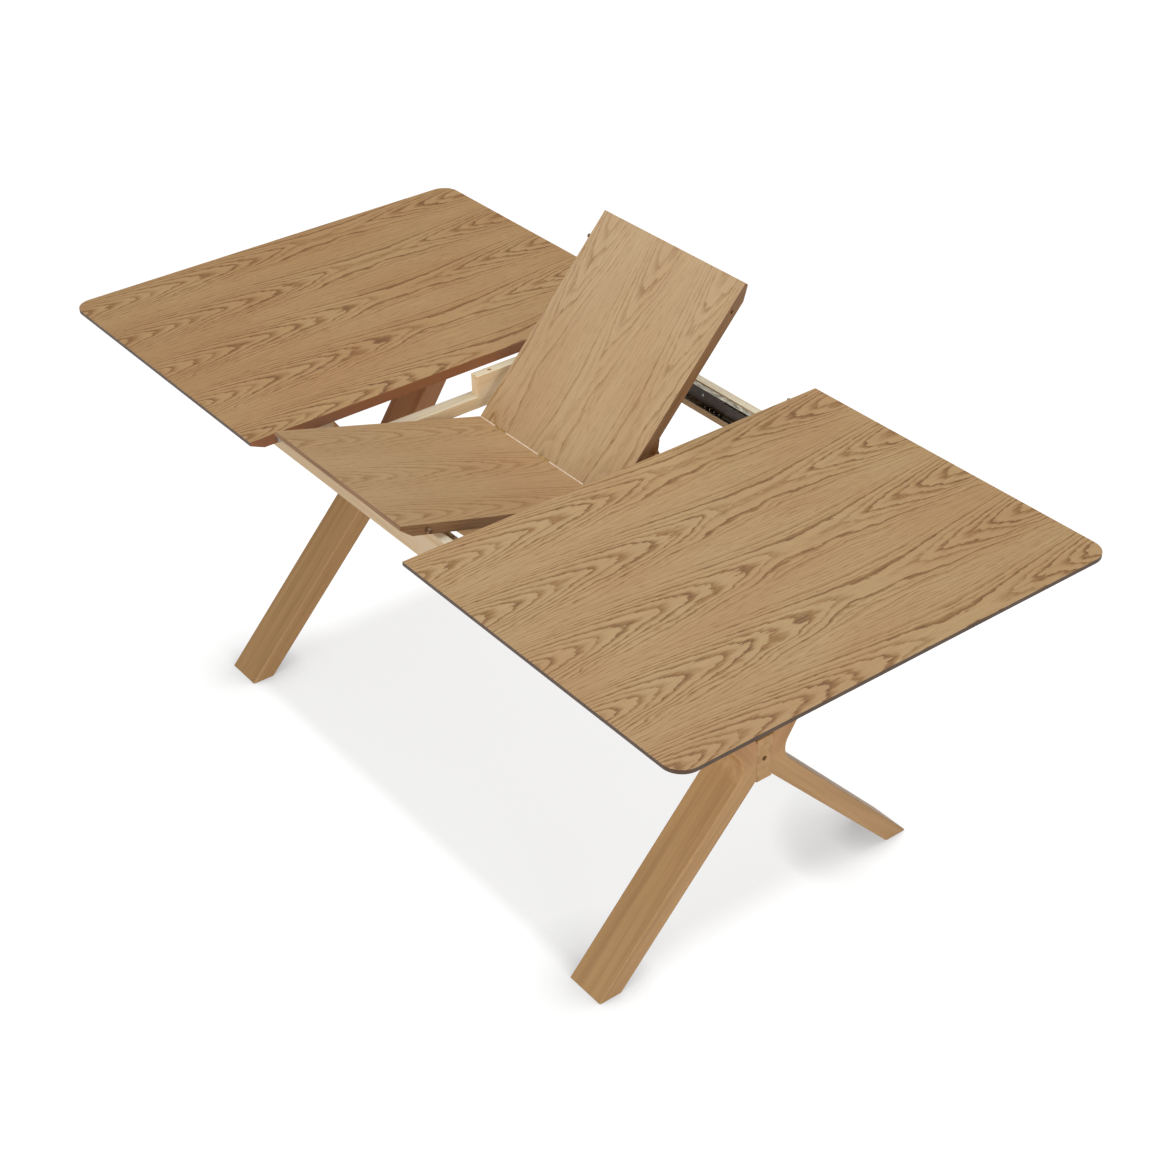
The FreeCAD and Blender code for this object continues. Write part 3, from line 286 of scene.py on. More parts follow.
def sliced_oak(settings, node):
    """Oak veneer, flat sliced and slip matched, under a satin lacquer.

    Each strip cuts nested growth rings at a slope, which the eye reads as pointed arches that
    climb from one end, pinch in, and run on as V shapes at the other. Every ring starts with dark
    open pores and fades to pale dense wood. Neighbouring strips are successive slices of one log,
    so the same figure repeats with small changes.
    """
    middle_mm, figure_share, tint = BOARDS[node]
    leaf = node in LEAF_SIDES
    location, turn = panel_mapping(LEAF_SIDES[node]) if leaf else ((0, 0, 0), 0.0)
    edges = ((settings.shaded_leaf_edge, settings.leaf_edge_dark) if leaf else
             (settings.shaded_top_edge, settings.top_edge_dark))
    material, tree, surface = new_material("veneer_" + node)
    spot, x, y, rise = board_coordinates(tree, location, turn)
    index, across, chances = strips(tree, x, middle_mm)
    radius, distance = ring_radius(tree, y, index, across, chances)
    band = growth_rings(tree, radius)
    # Away from the heart of the strip the rings stand on edge and draw only faint lines.
    heart = add_node(tree, RANGE, {
        0: distance, 1: FLANK_MM, 2: HEART_MM, 3: FLANK_SHARE * figure_share, 4: figure_share},
        interpolation_type="SMOOTHSTEP").outputs[0]
    figure = add_node(tree, MATH, {0: band, 1: heart}, operation="MULTIPLY").outputs[0]

    found = []
    for size, detail, roughness in (FIBRES, PORES, CLOUDS, LIPPING):
        lumps = add_node(tree, VECTOR, {0: spot, 1: [1 / length for length in size]},
                         operation="MULTIPLY").outputs[0]
        found.append(add_node(tree, NOISE, {
            "Vector": lumps, "Scale": 1.0, "Detail": detail,
            "Roughness": roughness}).outputs["Fac"])
    fibre, pore, cloud, lip = found
    pores = add_node(tree, RANGE, {0: pore, 1: 0.55, 2: 0.68, 3: 0.0, 4: 1.0}).outputs[0]
    pore_more = add_node(tree, MATH, {0: band, 1: 0.65, 2: 0.35},
                         operation="MULTIPLY_ADD").outputs[0]
    open_pores = add_node(tree, MATH, {0: pores, 1: pore_more}, operation="MULTIPLY").outputs[0]

    # 0 is the palest wood and 1 the darkest.
    fibre_dark = add_node(tree, MATH, {0: fibre, 1: 0.52, 2: -0.02},
                          operation="MULTIPLY_ADD").outputs[0]
    dark = add_node(tree, MATH, {0: figure, 1: 0.50, 2: fibre_dark},
                    operation="MULTIPLY_ADD").outputs[0]
    dark_pores = add_node(tree, MATH, {0: open_pores, 1: 0.32, 2: dark},
                          operation="MULTIPLY_ADD").outputs[0]
    strip_tone = add_node(tree, MATH, {0: chances[1], 1: 0.07, 2: -0.035},
                          operation="MULTIPLY_ADD").outputs[0]
    tone = add_node(tree, MATH, {0: dark_pores, 1: strip_tone}, operation="ADD").outputs[0]
    ramp = add_node(tree, "ShaderNodeValToRGB", {0: tone})
    colour = add_stops(ramp, [
        (0.0, settings.pale), (0.34, settings.middle), (0.66, settings.early),
        (1.0, settings.pore)])
    # Broad pinkish clouds lie over the figure.
    amount = add_node(tree, RANGE, {0: cloud, 1: 0.35, 2: 0.65, 3: 0.0, 4: 0.4}).outputs[0]
    clouded = add_node(tree, "ShaderNodeMix", {0: amount, 6: colour, 7: (*settings.blush, 1)},
                       data_type="RGBA", blend_type="MULTIPLY").outputs[2]
    tinted = add_node(tree, VECTOR, {0: clouded, 1: tint}, operation="MULTIPLY").outputs[0]

    # Solid lipping round the board, with its grain along the edge, painted darker as the shade on its sideways
    # faces.
    lip_ramp = add_node(tree, "ShaderNodeValToRGB", {0: lip})
    lip_colour = add_stops(lip_ramp, [(0.3, edges[0]), (0.75, edges[1])])
    sideways_shade = add_node(tree, RANGE, {0: rise, 1: 0.82, 2: 0.45, 3: 0.0, 4: 1.0}).outputs[0]
    not_below = add_node(tree, RANGE, {0: rise, 1: -0.985, 2: -0.96, 3: 0.0, 4: 1.0}).outputs[0]
    edge = add_node(tree, MATH, {0: sideways_shade, 1: not_below}, operation="MULTIPLY").outputs[0]
    edged = add_node(tree, "ShaderNodeMix", {0: edge, 6: tinted, 7: lip_colour},
                     data_type="RGBA").outputs[2]
    if leaf:
        # A leaf panel's arris along the fold line, at Y = 0, is drawn pale.
        off_fold = add_node(tree, MATH, {0: y}, operation="ABSOLUTE").outputs[0]
        pale_fold = add_node(tree, RANGE, {0: off_fold, 1: 1.0, 2: 1.8, 3: 1.0, 4: 0.0}).outputs[0]
        special, code = pale_fold, settings.fold_line
    else:
        # The edge that meets the leaf is painted lighter and redder than the other lipping, as the shade and warm
        # bounced light that fall on it.
        faces = add_node(tree, "ShaderNodeTexCoord").outputs["Normal"]
        looks = add_node(tree, VECTOR, {0: faces, 1: (INNER_EDGES[node], 0, 0)},
                         operation="DOT_PRODUCT").outputs["Value"]
        warm_lit_edge = add_node(tree, RANGE, {0: looks, 1: 0.8, 2: 0.95, 3: 0.0, 4: 1.0}).outputs[0]
        special, code = warm_lit_edge, settings.warm_lit_inner_edge
    finished = add_node(tree, "ShaderNodeMix", {0: special, 6: edged, 7: (*code, 1)},
                        data_type="RGBA").outputs[2]
    tree.links.new(finished, surface.inputs["Base Color"])

    gloss = add_node(tree, MATH, {0: dark_pores, 1: 0.12, 2: settings.veneer_roughness},
                     operation="MULTIPLY_ADD").outputs[0]
    tree.links.new(gloss, surface.inputs["Roughness"])
    relief = add_node(tree, MATH, {0: open_pores, 1: -1.0}, operation="MULTIPLY").outputs[0]
    bump = add_node(tree, "ShaderNodeBump", {
        "Height": relief, "Strength": 0.25, "Distance": PORE_DEPTH}).outputs[0]
    tree.links.new(bump, surface.inputs["Normal"])
    surface.inputs["IOR"].default_value = 1.5
    return material


# The bent legs: the height of the waist, and how far each arm leans from upright, in degrees.
WAIST_MM = 355
LOWER_LEAN = 43.0
UPPER_LEAN = 34.5
# The arms above the waist are painted darker and redder, as shade and warm bounced light; this painted shade comes
# in between these heights.
ARM_SHADE_FROM_MM = 330
ARM_SHADE_FULL_MM = 460
ARM_SHADE_TINT = "#E8CFC2"
# Sets the upper arms' grain apart from the lower ones'.
ARM_APART_MM = 900.0

# Solid wood's noise along the grain: the length of a streak, and the width and length of a fibre
# and of an open pore, all in millimetres.
STREAK_LONG_MM = 420
SOLID_FIBRE_MM = (1.6, 70)
SOLID_PORE_MM = (1.0, 11)


def limb_grain(tree, x, y, up):
    """A place on a bent leg, turned so that Z runs along the arm that it lies on."""
    out = add_node(tree, MATH, {0: y}, operation="ABSOLUTE").outputs[0]
    above = add_node(tree, MATH, {0: up, 1: WAIST_MM}, operation="GREATER_THAN").outputs[0]
    lean = add_node(tree, RANGE, {
        0: above, 1: 0.0, 2: 1.0, 3: math.radians(-LOWER_LEAN),
        4: math.radians(UPPER_LEAN)}).outputs[0]
    height = add_node(tree, MATH, {0: up, 1: WAIST_MM}, operation="SUBTRACT").outputs[0]
    local = add_node(tree, "ShaderNodeCombineXYZ", {0: x, 1: out, 2: height}).outputs[0]
    turned = add_node(tree, "ShaderNodeVectorRotate", {
        "Vector": local, "Angle": lean}, rotation_type="X_AXIS").outputs[0]
    apart = add_node(tree, MATH, {0: above, 1: ARM_APART_MM}, operation="MULTIPLY").outputs[0]
    shift = add_node(tree, "ShaderNodeCombineXYZ", {0: 0.0, 1: 0.0, 2: apart}).outputs[0]
    return add_node(tree, VECTOR, {0: turned, 1: shift}, operation="ADD").outputs[0]


def solid_wood(name, stops, roughness, limb=False, along="x", streak_mm=5.0, shaded_sides=None):
    """Solid wood, sawn along its own length and planed: long streaks and short open pores.

    limb lays the grain along both arms of a bent leg, which meet at the waist, and paints shade on the
    arms above the waist. The sides tint is painted shade, on the faces that don't look up.
    """
    material, tree, surface = new_material(name)
    spot = add_node(tree, "ShaderNodeTexCoord").outputs
    scaled = add_node(tree, VECTOR, {0: spot["Object"], "Scale": 1 / MM},
                      operation="SCALE").outputs[0]
    grain_mm, length = scaled, "xyz".index(along)
    if limb:
        x, y, up = add_node(tree, "ShaderNodeSeparateXYZ", {0: scaled}).outputs
        grain_mm, length = limb_grain(tree, x, y, up), 2

    found = []
    for wide, long, detail, rough, bent in (
            (streak_mm * 3, STREAK_LONG_MM, 4.0, 0.55, 0.4),
            (*SOLID_FIBRE_MM, 2.0, 0.5, 0.0), (*SOLID_PORE_MM, 1.0, 0.5, 0.0)):
        steps = [1 / wide] * 3
        steps[length] = 1 / long
        lumps = add_node(tree, VECTOR, {0: grain_mm, 1: steps}, operation="MULTIPLY").outputs[0]
        found.append(add_node(tree, NOISE, {
            "Vector": lumps, "Scale": 1.0, "Detail": detail, "Roughness": rough,
            "Distortion": bent}).outputs["Fac"])
    streak, fibre, pore = found
    pores = add_node(tree, RANGE, {0: pore, 1: 0.62, 2: 0.72, 3: 0.0, 4: 1.0}).outputs[0]
    bands = add_node(tree, RANGE, {0: streak, 1: 0.32, 2: 0.68, 3: 0.0, 4: 0.72}).outputs[0]
    fibres = add_node(tree, MATH, {0: fibre, 1: 0.30, 2: bands},
                      operation="MULTIPLY_ADD").outputs[0]
    tone = add_node(tree, MATH, {0: pores, 1: 0.10, 2: fibres},
                    operation="MULTIPLY_ADD").outputs[0]
    ramp = add_node(tree, "ShaderNodeValToRGB", {0: tone})
    colour = add_stops(ramp, stops)
    if limb:
        # Painted shade: the arms above the waist are darkened and reddened.
        amount = add_node(tree, RANGE, {
            0: up, 1: ARM_SHADE_FROM_MM, 2: ARM_SHADE_FULL_MM, 3: 0.0, 4: 1.0}).outputs[0]
        colour = add_node(tree, "ShaderNodeMix", {0: amount, 6: colour, 7: linear(ARM_SHADE_TINT)},
                          data_type="RGBA", blend_type="MULTIPLY").outputs[2]
    if shaded_sides:
        # Painted shade: the faces that don't look up are darkened.
        rise = add_node(tree, "ShaderNodeSeparateXYZ", {0: spot["Normal"]}).outputs[2]
        amount = add_node(tree, RANGE, {0: rise, 1: 0.8, 2: 0.5, 3: 0.0, 4: 1.0}).outputs[0]
        colour = add_node(tree, "ShaderNodeMix", {0: amount, 6: colour, 7: linear(shaded_sides)},
                          data_type="RGBA", blend_type="MULTIPLY").outputs[2]
    tree.links.new(colour, surface.inputs["Base Color"])
    gloss = add_node(tree, MATH, {0: tone, 1: 0.12, 2: roughness},
                     operation="MULTIPLY_ADD").outputs[0]
    tree.links.new(gloss, surface.inputs["Roughness"])
    bump = add_node(tree, "ShaderNodeBump", {
        "Height": pores, "Strength": 0.2, "Distance": PORE_DEPTH}, invert=True).outputs[0]
    tree.links.new(bump, surface.inputs["Normal"])
    surface.inputs["IOR"].default_value = 1.5
    return material


# Real drawn lines are too fine to show, so these are drawn 0.6 mm wide.
LINE_WIDE = 0.6 * MM
LINE_LONG = 60 * MM
LINE_DEPTH = 0.05 * MM
PATCH_WIDE = 9 * MM


def drawn_metal(name, colour, roughness, along="x"):
    """Metal drawn, rolled or turned along one axis: fine lines that way, and duller patches."""
    material, tree, surface = new_material(name)
    place = add_node(tree, "ShaderNodeTexCoord").outputs["Object"]
    steps = [1 / LINE_WIDE] * 3
    steps["xyz".index(along)] = 1 / LINE_LONG
    lines = add_node(tree, VECTOR, {0: place, 1: steps}, operation="MULTIPLY").outputs[0]
    drawn = add_node(tree, NOISE, {"Vector": lines, "Scale": 1.0, "Detail": 2.0}).outputs["Fac"]
    patches = add_node(tree, NOISE, {
        "Vector": place, "Scale": 1 / PATCH_WIDE, "Detail": 3.0}).outputs["Fac"]
    mixed = add_node(tree, MATH, {0: drawn, 1: patches}, operation="MULTIPLY").outputs[0]
    shade = add_node(tree, RANGE, {0: mixed, 1: 0.12, 2: 0.40, 3: 0.72, 4: 1.0}).outputs[0]
    tint = add_node(tree, VECTOR, {0: linear(colour)[:3], "Scale": shade},
                    operation="SCALE").outputs[0]
    tree.links.new(tint, surface.inputs["Base Color"])
    rough = add_node(tree, RANGE, {
        0: mixed, 1: 0.10, 2: 0.42, 3: roughness + 0.12, 4: roughness}).outputs[0]
    tree.links.new(rough, surface.inputs["Roughness"])
    bump = add_node(tree, "ShaderNodeBump", {
        "Height": drawn, "Strength": 0.15, "Distance": LINE_DEPTH}).outputs[0]
    tree.links.new(bump, surface.inputs["Normal"])
    surface.inputs["Metallic"].default_value = 1.0
    return material


# The smears that rag the painted shade's border, mottle the colour and give the relief have this size, and stand
# up by this much.
SMEAR_SIZE = (16 * MM, 5 * MM, 5 * MM)
SMEAR_DEPTH = 0.1 * MM


def shade_painted_zinc(name, settings):
    """Rolled, zinc plated slide steel: bright grey on the faces that look up, and the rest painted dark as shade,
    in grease-like smears.
    """
    material, tree, surface = new_material(name)
    spot = add_node(tree, "ShaderNodeTexCoord").outputs
    lumps = add_node(tree, VECTOR, {0: spot["Object"], 1: [1 / length for length in SMEAR_SIZE]},
                     operation="MULTIPLY").outputs[0]
    smear = add_node(tree, NOISE, {"Vector": lumps, "Scale": 1.0, "Detail": 4.0}).outputs["Fac"]
    rise = add_node(tree, "ShaderNodeSeparateXYZ", {0: spot["Normal"]}).outputs[2]
    # Painted shade: only the faces that look up, the flanges' upper faces, keep the bright steel; the border is
    # ragged.
    reach = add_node(tree, MATH, {0: smear, 1: 0.4, 2: rise}, operation="MULTIPLY_ADD").outputs[0]
    unshaded = add_node(tree, RANGE, {0: reach, 1: 0.75, 2: 1.15, 3: 0.0, 4: 1.0},
                     interpolation_type="SMOOTHSTEP").outputs[0]
    colour = add_node(tree, "ShaderNodeMix", {
        0: unshaded, 6: (*settings.shade_and_grease, 1), 7: (*settings.steel, 1)},
        data_type="RGBA").outputs[2]
    # The smears mottle the colour darker and lighter; the lighter spots stand in as painted glints.
    mottle_and_glint = add_node(tree, RANGE, {0: smear, 1: 0.35, 2: 0.7, 3: 0.55, 4: 1.6}).outputs[0]
    mottled_and_glinting = add_node(tree, VECTOR, {0: colour, "Scale": mottle_and_glint}, operation="SCALE").outputs[0]
    tree.links.new(mottled_and_glinting, surface.inputs["Base Color"])
    rough = add_node(tree, RANGE, {0: unshaded, 1: 0.0, 2: 1.0, 3: 0.55, 4: 0.34}).outputs[0]
    tree.links.new(rough, surface.inputs["Roughness"])
    tree.links.new(unshaded, surface.inputs["Metallic"])
    bump = add_node(tree, "ShaderNodeBump", {
        "Height": smear, "Strength": 0.2, "Distance": SMEAR_DEPTH}).outputs[0]
    tree.links.new(bump, surface.inputs["Normal"])
    return material


def paint(name, description, code):
    """A colour that the user can change, from its sRGB hex value."""
    return bpy.props.FloatVectorProperty(name=name, description=description, subtype="COLOR",
                                         size=3, min=0.0, max=1.0, default=linear(code)[:3])


class TableFinish(bpy.types.PropertyGroup):
    """Colours, finishes and small sizes that a user would change."""

    pale: paint("Pale oak", "Dense late wood of the veneer", "#CCAE80")
    middle: paint("Middle oak", "Most of the veneer", "#B8996C")
    early: paint("Early oak", "Start of each ring", "#9C7644")
    pore: paint("Pores", "Open pores of the veneer", "#77522E")
    blush: paint("Blush", "Broad clouds over the veneer", "#F2DCCB")
    # Painted shade: the half tops' lipping colours darken their sideways faces.
    shaded_top_edge: paint("Top edge", "Stained lipping round the half tops", "#52381F")
    top_edge_dark: paint("Top edge streaks", "Dark streaks in that lipping", "#342212")
    # Painted shade and warm bounced light on the half tops' inner edges.
    warm_lit_inner_edge: paint("Inner edge", "Half tops' edges that meet the leaf", "#8C5A38")
    # Painted shade: the leaf panels' lipping colours darken their sideways faces.
    shaded_leaf_edge: paint("Leaf edge", "Lipping round the leaf panels", "#9A7450")
    leaf_edge_dark: paint("Leaf edge streaks", "Dark streaks in that lipping", "#74512F")
    # The fold's arris is drawn pale.
    fold_line: paint("Fold line", "Bare arris where the leaf panels meet", "#DEC098")
    leg: paint("Leg oak", "Solid oak of the legs", "#B9915F")
    frame_wood: paint("Frame wood", "Bare hardwood of the centre frame", "#F8EED2")
    steel: paint("Slide steel", "Zinc plated slide steel", "#D2CCBA")
    # The slides' dark colour is painted shade, mottled like grease.
    shade_and_grease: paint("Grease", "Grease and wear in the slides' channels", "#3B3126")
    veneer_roughness: bpy.props.FloatProperty(
        name="Veneer roughness", description="Satin lacquer on the veneer", default=0.42,
        min=0.0, max=1.0)
    arris: bpy.props.FloatProperty(
        name="Arris", description="Rounding of the boards' edges", unit="LENGTH",
        default=0.0008, min=0.0002, max=0.002)
    ball_pitch: bpy.props.FloatProperty(
        name="Ball pitch", description="Distance between balls in a slide's cage",
        unit="LENGTH", default=0.013, min=0.006, max=0.05)


# Edges sharper than this are rounded, and how far the metal pieces' edges are.
ROUNDED_ANGLE = math.radians(30)
SLIDE_ARRIS = 0.2 * MM
PIN_ARRIS = 0.8 * MM
BRACKET_ARRIS = 0.4 * MM


def soften(names, width):
    """Rounds the pieces' edges, so that they catch the light as worked edges do."""
    for name in names:
        weld = NODES[name].modifiers.new("weld", "WELD")
        weld.merge_threshold = WELD
        bevel = NODES[name].modifiers.new("arris", "BEVEL")
        bevel.width = width
        bevel.segments = 2
        bevel.limit_method = "ANGLE"
        bevel.angle_limit = ROUNDED_ANGLE


def give(names, material):
    """Gives CAD nodes one material."""
    for name in names:
        slots = NODES[name].data.materials
        slots.clear()
        slots.append(material)


def named(*starts):
    """The CAD nodes whose names start so, in order."""
    return [name for name in sorted(NODES) if name.startswith(starts)]


class TABLE_OT_veneer(bpy.types.Operator):
    """Veneers both half tops and both leaf panels"""

    bl_idname = "table.veneer"
    bl_label = "Oak veneer"

    def execute(self, context):
        settings = context.scene.table_finish
        for node in BOARDS:
            give([node], sliced_oak(settings, node))
        soften(BOARDS, settings.arris)
        return {"FINISHED"}


class TABLE_OT_legs(bpy.types.Operator):
    """Oak for the bent legs and the waist blocks"""

    bl_idname = "table.legs"
    bl_label = "Solid oak legs"

    def execute(self, context):
        settings = context.scene.table_finish
        stops = [(0.0, "#C39D6B"), (0.5, settings.leg), (1.0, "#A57F50")]
        give(named("leg_"), solid_wood("solid_oak_limb", stops, 0.42, limb=True))
        give(named("waist_block"), solid_wood("solid_oak_block", stops, 0.42, along="x"))
        soften(named("leg_", "waist_block"), settings.arris)
        return {"FINISHED"}


class TABLE_OT_frame_wood(bpy.types.Operator):
    """Bare pale hardwood for the centre frame, runners and bearers"""

    bl_idname = "table.frame_wood"
    bl_label = "Frame wood"

    def execute(self, context):
        settings = context.scene.table_finish
        stops = [(0.0, "#FDF7E6"), (0.5, settings.frame_wood), (1.0, "#E6D5AE")]
        # The sides tints are painted shade on the faces of the frame that don't look up.
        give(named("rail_", "runner_"), solid_wood("pale_hardwood_x", stops, 0.55, along="x",
                                                   streak_mm=8.0, shaded_sides="#D6C6B8"))
        give(named("cross_bar", "pivot_block", "bearer", "dowels"),
             solid_wood("pale_hardwood_y", stops, 0.55, along="y", streak_mm=8.0,
                        shaded_sides="#F8E8D6"))
        soften(named("rail_", "runner_", "cross_bar", "pivot_block", "bearer"), settings.arris)
        return {"FINISHED"}


class TABLE_OT_metal(bpy.types.Operator):
    """Metal for the slides, pins, hinges, bushes and pivot brackets"""

    bl_idname = "table.metal"
    bl_label = "Metal"

    def execute(self, context):
        settings = context.scene.table_finish
        # The slides' dark channels are painted shade.
        give(named("slide_outer"), shade_painted_zinc("zinc_plated_slide", settings))
        give(named("slide_middle", "slide_inner"), shade_painted_zinc("zinc_plated_member", settings))
        give(named("top_pin"), drawn_metal("bright_zinc", "#C8C9C6", 0.25))
        give(named("leaf_pin"), drawn_metal("bronzed_pin", "#957A60", 0.35))
        give(named("pivot_bracket"), drawn_metal("bronzed_steel", "#B48C68", 0.42, along="y"))
        give(named("hinge_", "pivot_bush"), drawn_metal("satin_brass", "#C9A468", 0.35))
        soften(named("slide_"), SLIDE_ARRIS)
        soften(named("top_pin", "leaf_pin"), PIN_ARRIS)
        soften(named("pivot_bracket"), BRACKET_ARRIS)
        return {"FINISHED"}


def solids(node):
    """The separate solids of a CAD node, each as its corners, in order along the table."""
    shape = bmesh.new()
    shape.from_mesh(NODES[node].data)
    bmesh.ops.remove_doubles(shape, verts=shape.verts, dist=WELD)
    left = set(shape.verts)
    found = []
    while left:
        reach = [left.pop()]
        for vert in reach:
            for edge in vert.link_edges:
                other = edge.other_vert(vert)
                if other in left:
                    left.remove(other)
                    reach.append(other)
        found.append(np.array([vert.co for vert in reach]))
    shape.free()
    return sorted(found, key=lambda corners: tuple(corners.mean(0).round(5)))


def rod_frame(corners):
    """A headed rod's head top and axis, head radius and height, shank radius and length."""
    middle = corners.mean(0)
    axis = np.linalg.svd(corners - middle)[2][0]
    along = (corners - middle) @ axis
    radial = np.linalg.norm(corners - middle - np.outer(along, axis), axis=1)
    head = radial > (radial.min() + radial.max()) / 2
    if along[head].mean() < 0:
        axis, along = -axis, -along
    top, seat = along[head].max(), along[head].min()
    return (Vector(middle + axis * top), Vector(axis), radial.max(), top - seat, radial.min(),
            seat - along.min())


# New pieces' edges look sharp from this angle on.
SHARP_ANGLE = math.radians(35)

# A head starts as a grid of 5 x 5 faces that reaches to 1, so its lines lie at 0.2, 0.6 and 1. The
# recess takes the faces whose middles these tests pick.
RECESSES = {
    "cross": lambda x, y: abs(x) + abs(y) < 0.5,
    "slot": lambda x, y: abs(y) < 0.1 and abs(x) < 0.5,
    "socket": lambda x, y: max(abs(x), abs(y)) < 0.5,
}
# A socket's radius, as a share of the head's, and how much of the grid's lines a cross or a slot
# keeps in its reach and in its width.
SOCKET_SHARE = 0.52
REACH_SHARE = 0.92
WIDTH_SHARE = 0.62
# The dome's fall and the recess's depth, as shares of the head's height.
DOME_SHARE = 0.3
RECESS_SHARE = 0.55


def headed_rod(recess, head_radius, head_high, shank_radius, length):
    """A screw or bolt that points up, its head's top at the origin, as a mesh to copy.

    A small grid is bent to a disc, the recess is sunk in it, and its rim is drawn down to form
    the head's side, its seat and the shank.
    """
    shape = bmesh.new()
    bmesh.ops.create_grid(shape, x_segments=5, y_segments=5, size=1.0)
    sunk = [f for f in shape.faces if RECESSES[recess](*f.calc_center_median().xy)]
    for vert in shape.verts:
        x, y = vert.co.xy
        ring = max(abs(x), abs(y))
        if ring > 0.9 or (recess == "socket" and ring > 0.5):
            size = (1.0 if ring > 0.9 else SOCKET_SHARE) / math.hypot(x, y)
            x, y = x * size, y * size
        elif recess != "socket":
            x, y = [c * (REACH_SHARE if abs(c) > 0.5 else WIDTH_SHARE) for c in (x, y)]
        fall = DOME_SHARE * (x * x + y * y) * head_high
        vert.co = (x * head_radius, y * head_radius, -fall)
    rim = [e for e in shape.edges if e.is_boundary]
    deeper = bmesh.ops.extrude_face_region(shape, geom=sunk)["geom"]
    bmesh.ops.delete(shape, geom=[f for f in sunk if f.is_valid], context="FACES_ONLY")
    floor = [v for v in deeper if isinstance(v, bmesh.types.BMVert)]
    bmesh.ops.translate(shape, verts=floor, vec=(0, 0, -RECESS_SHARE * head_high))
    for width, drop in ((1.0, head_high), (shank_radius / head_radius, head_high),
                        (shank_radius / head_radius, head_high + length)):
        grown = bmesh.ops.extrude_edge_only(shape, edges=rim)["geom"]
        rim = [e for e in grown if isinstance(e, bmesh.types.BMEdge) and e.is_boundary]
        for vert in {v for e in rim for v in e.verts}:
            spread = width * head_radius / math.hypot(*vert.co.xy)
            vert.co = (vert.co.x * spread, vert.co.y * spread, -drop)
    bmesh.ops.edgeloop_fill(shape, edges=rim)
    bmesh.ops.recalc_face_normals(shape, faces=shape.faces)
    mesh = bpy.data.meshes.new("rod")
    shape.to_mesh(mesh)
    shape.free()
    return mesh


def add_piece(name, shape, body, material):
    """Makes a finished shape a piece that moves with one body."""
    mesh = bpy.data.meshes.new(name)
    shape.to_mesh(mesh)
    shape.free()
    mesh.materials.append(material)
    mesh.shade_smooth()
    mesh.set_sharp_from_angle(angle=SHARP_ANGLE)
    piece = bpy.data.objects.new(name, mesh)
    bpy.context.collection.objects.link(piece)
    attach(piece, body)
    return piece


def body_with(node):
    """The body that a CAD node belongs to."""
    bodies = frame["record"]["behaviour"]["bodies"]
    return next(body for body, held in bodies.items() if node in held)


# A round head's radius, as a share of that of the few-sided CAD head's corners.
SCREW_SHARE = 0.96
BOLT_SHARE = 0.97
# The wide part of a barrel nut, as a share of its length, and how wide the rest is beside it.
WIDE_SHARE = 0.9
NARROW_SHARE = 0.9


def copy_in(shape, rod, top, axis, across="Y"):
    """Adds a copy of a rod to a shape, with its head's top at a point and turned to an axis."""
    start = len(shape.verts)
    shape.from_mesh(rod)
    shape.verts.ensure_lookup_table()
    turn = axis.to_track_quat("Z", across).to_matrix().to_4x4()
    bmesh.ops.transform(shape, matrix=Matrix.Translation(top) @ turn, verts=shape.verts[start:])


class TABLE_OT_screws(bpy.types.Operator):
    """Cross-recessed screws and the waist's bolts and barrel nuts"""

    bl_idname = "table.screws"
    bl_label = "Screws and bolts"

    def execute(self, context):
        zinc = drawn_metal("zinc_screws", "#BFC0BC", 0.3, along="z")
        black = drawn_metal("black_oxide_bolt", "#34312E", 0.4, along="y")
        for node in sorted(name for name in NODES if "screws" in name):
            shape = bmesh.new()
            rod = None
            for corners in solids(node):
                top, axis, head, high, shank, length = rod_frame(corners)
                rod = rod or headed_rod("cross", head * SCREW_SHARE, high, shank, length)
                copy_in(shape, rod, top, axis)
            piece = add_piece(node + "_cross", shape, body_with(node), zinc)
            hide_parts(node)
        for node in named("waist_bolt"):
            shape = bmesh.new()
            bolt, nut = sorted(solids(node), key=lambda corners: -np.ptp(corners[:, 1]))
            top, axis, head, high, shank, length = rod_frame(bolt)
            rod = headed_rod("socket", head * BOLT_SHARE, high, shank, length)
            copy_in(shape, rod, top, axis, across="X")
            low, high = nut.min(0), nut.max(0)
            side = 1 if low[0] > 0 else -1
            face = Vector(((high if side > 0 else low)[0], *((low + high) / 2)[1:]))
            long, radius = high[0] - low[0], (high[2] - low[2]) / 2
            barrel = headed_rod("slot", radius, long * WIDE_SHARE, radius * NARROW_SHARE,
                                long * (1 - WIDE_SHARE))
            copy_in(shape, barrel, face, Vector((side, 0, 0)))
            piece = add_piece(node + "_socket", shape, body_with(node), black)
            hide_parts(node)
        return {"FINISHED"}


# A cage strip's thickness, the rim round each cell, half the length of its hole and the corners
# cut off the hole.
STRIP_THICK = 0.7 * MM
CELL_RIM = 0.5 * MM
HOLE_HALF = 1.7 * MM
HOLE_CORNER = 0.9 * MM
# The holes are the faces with eight corners and less than this area, in square metres.
HOLE_AREA = 1.3e-5


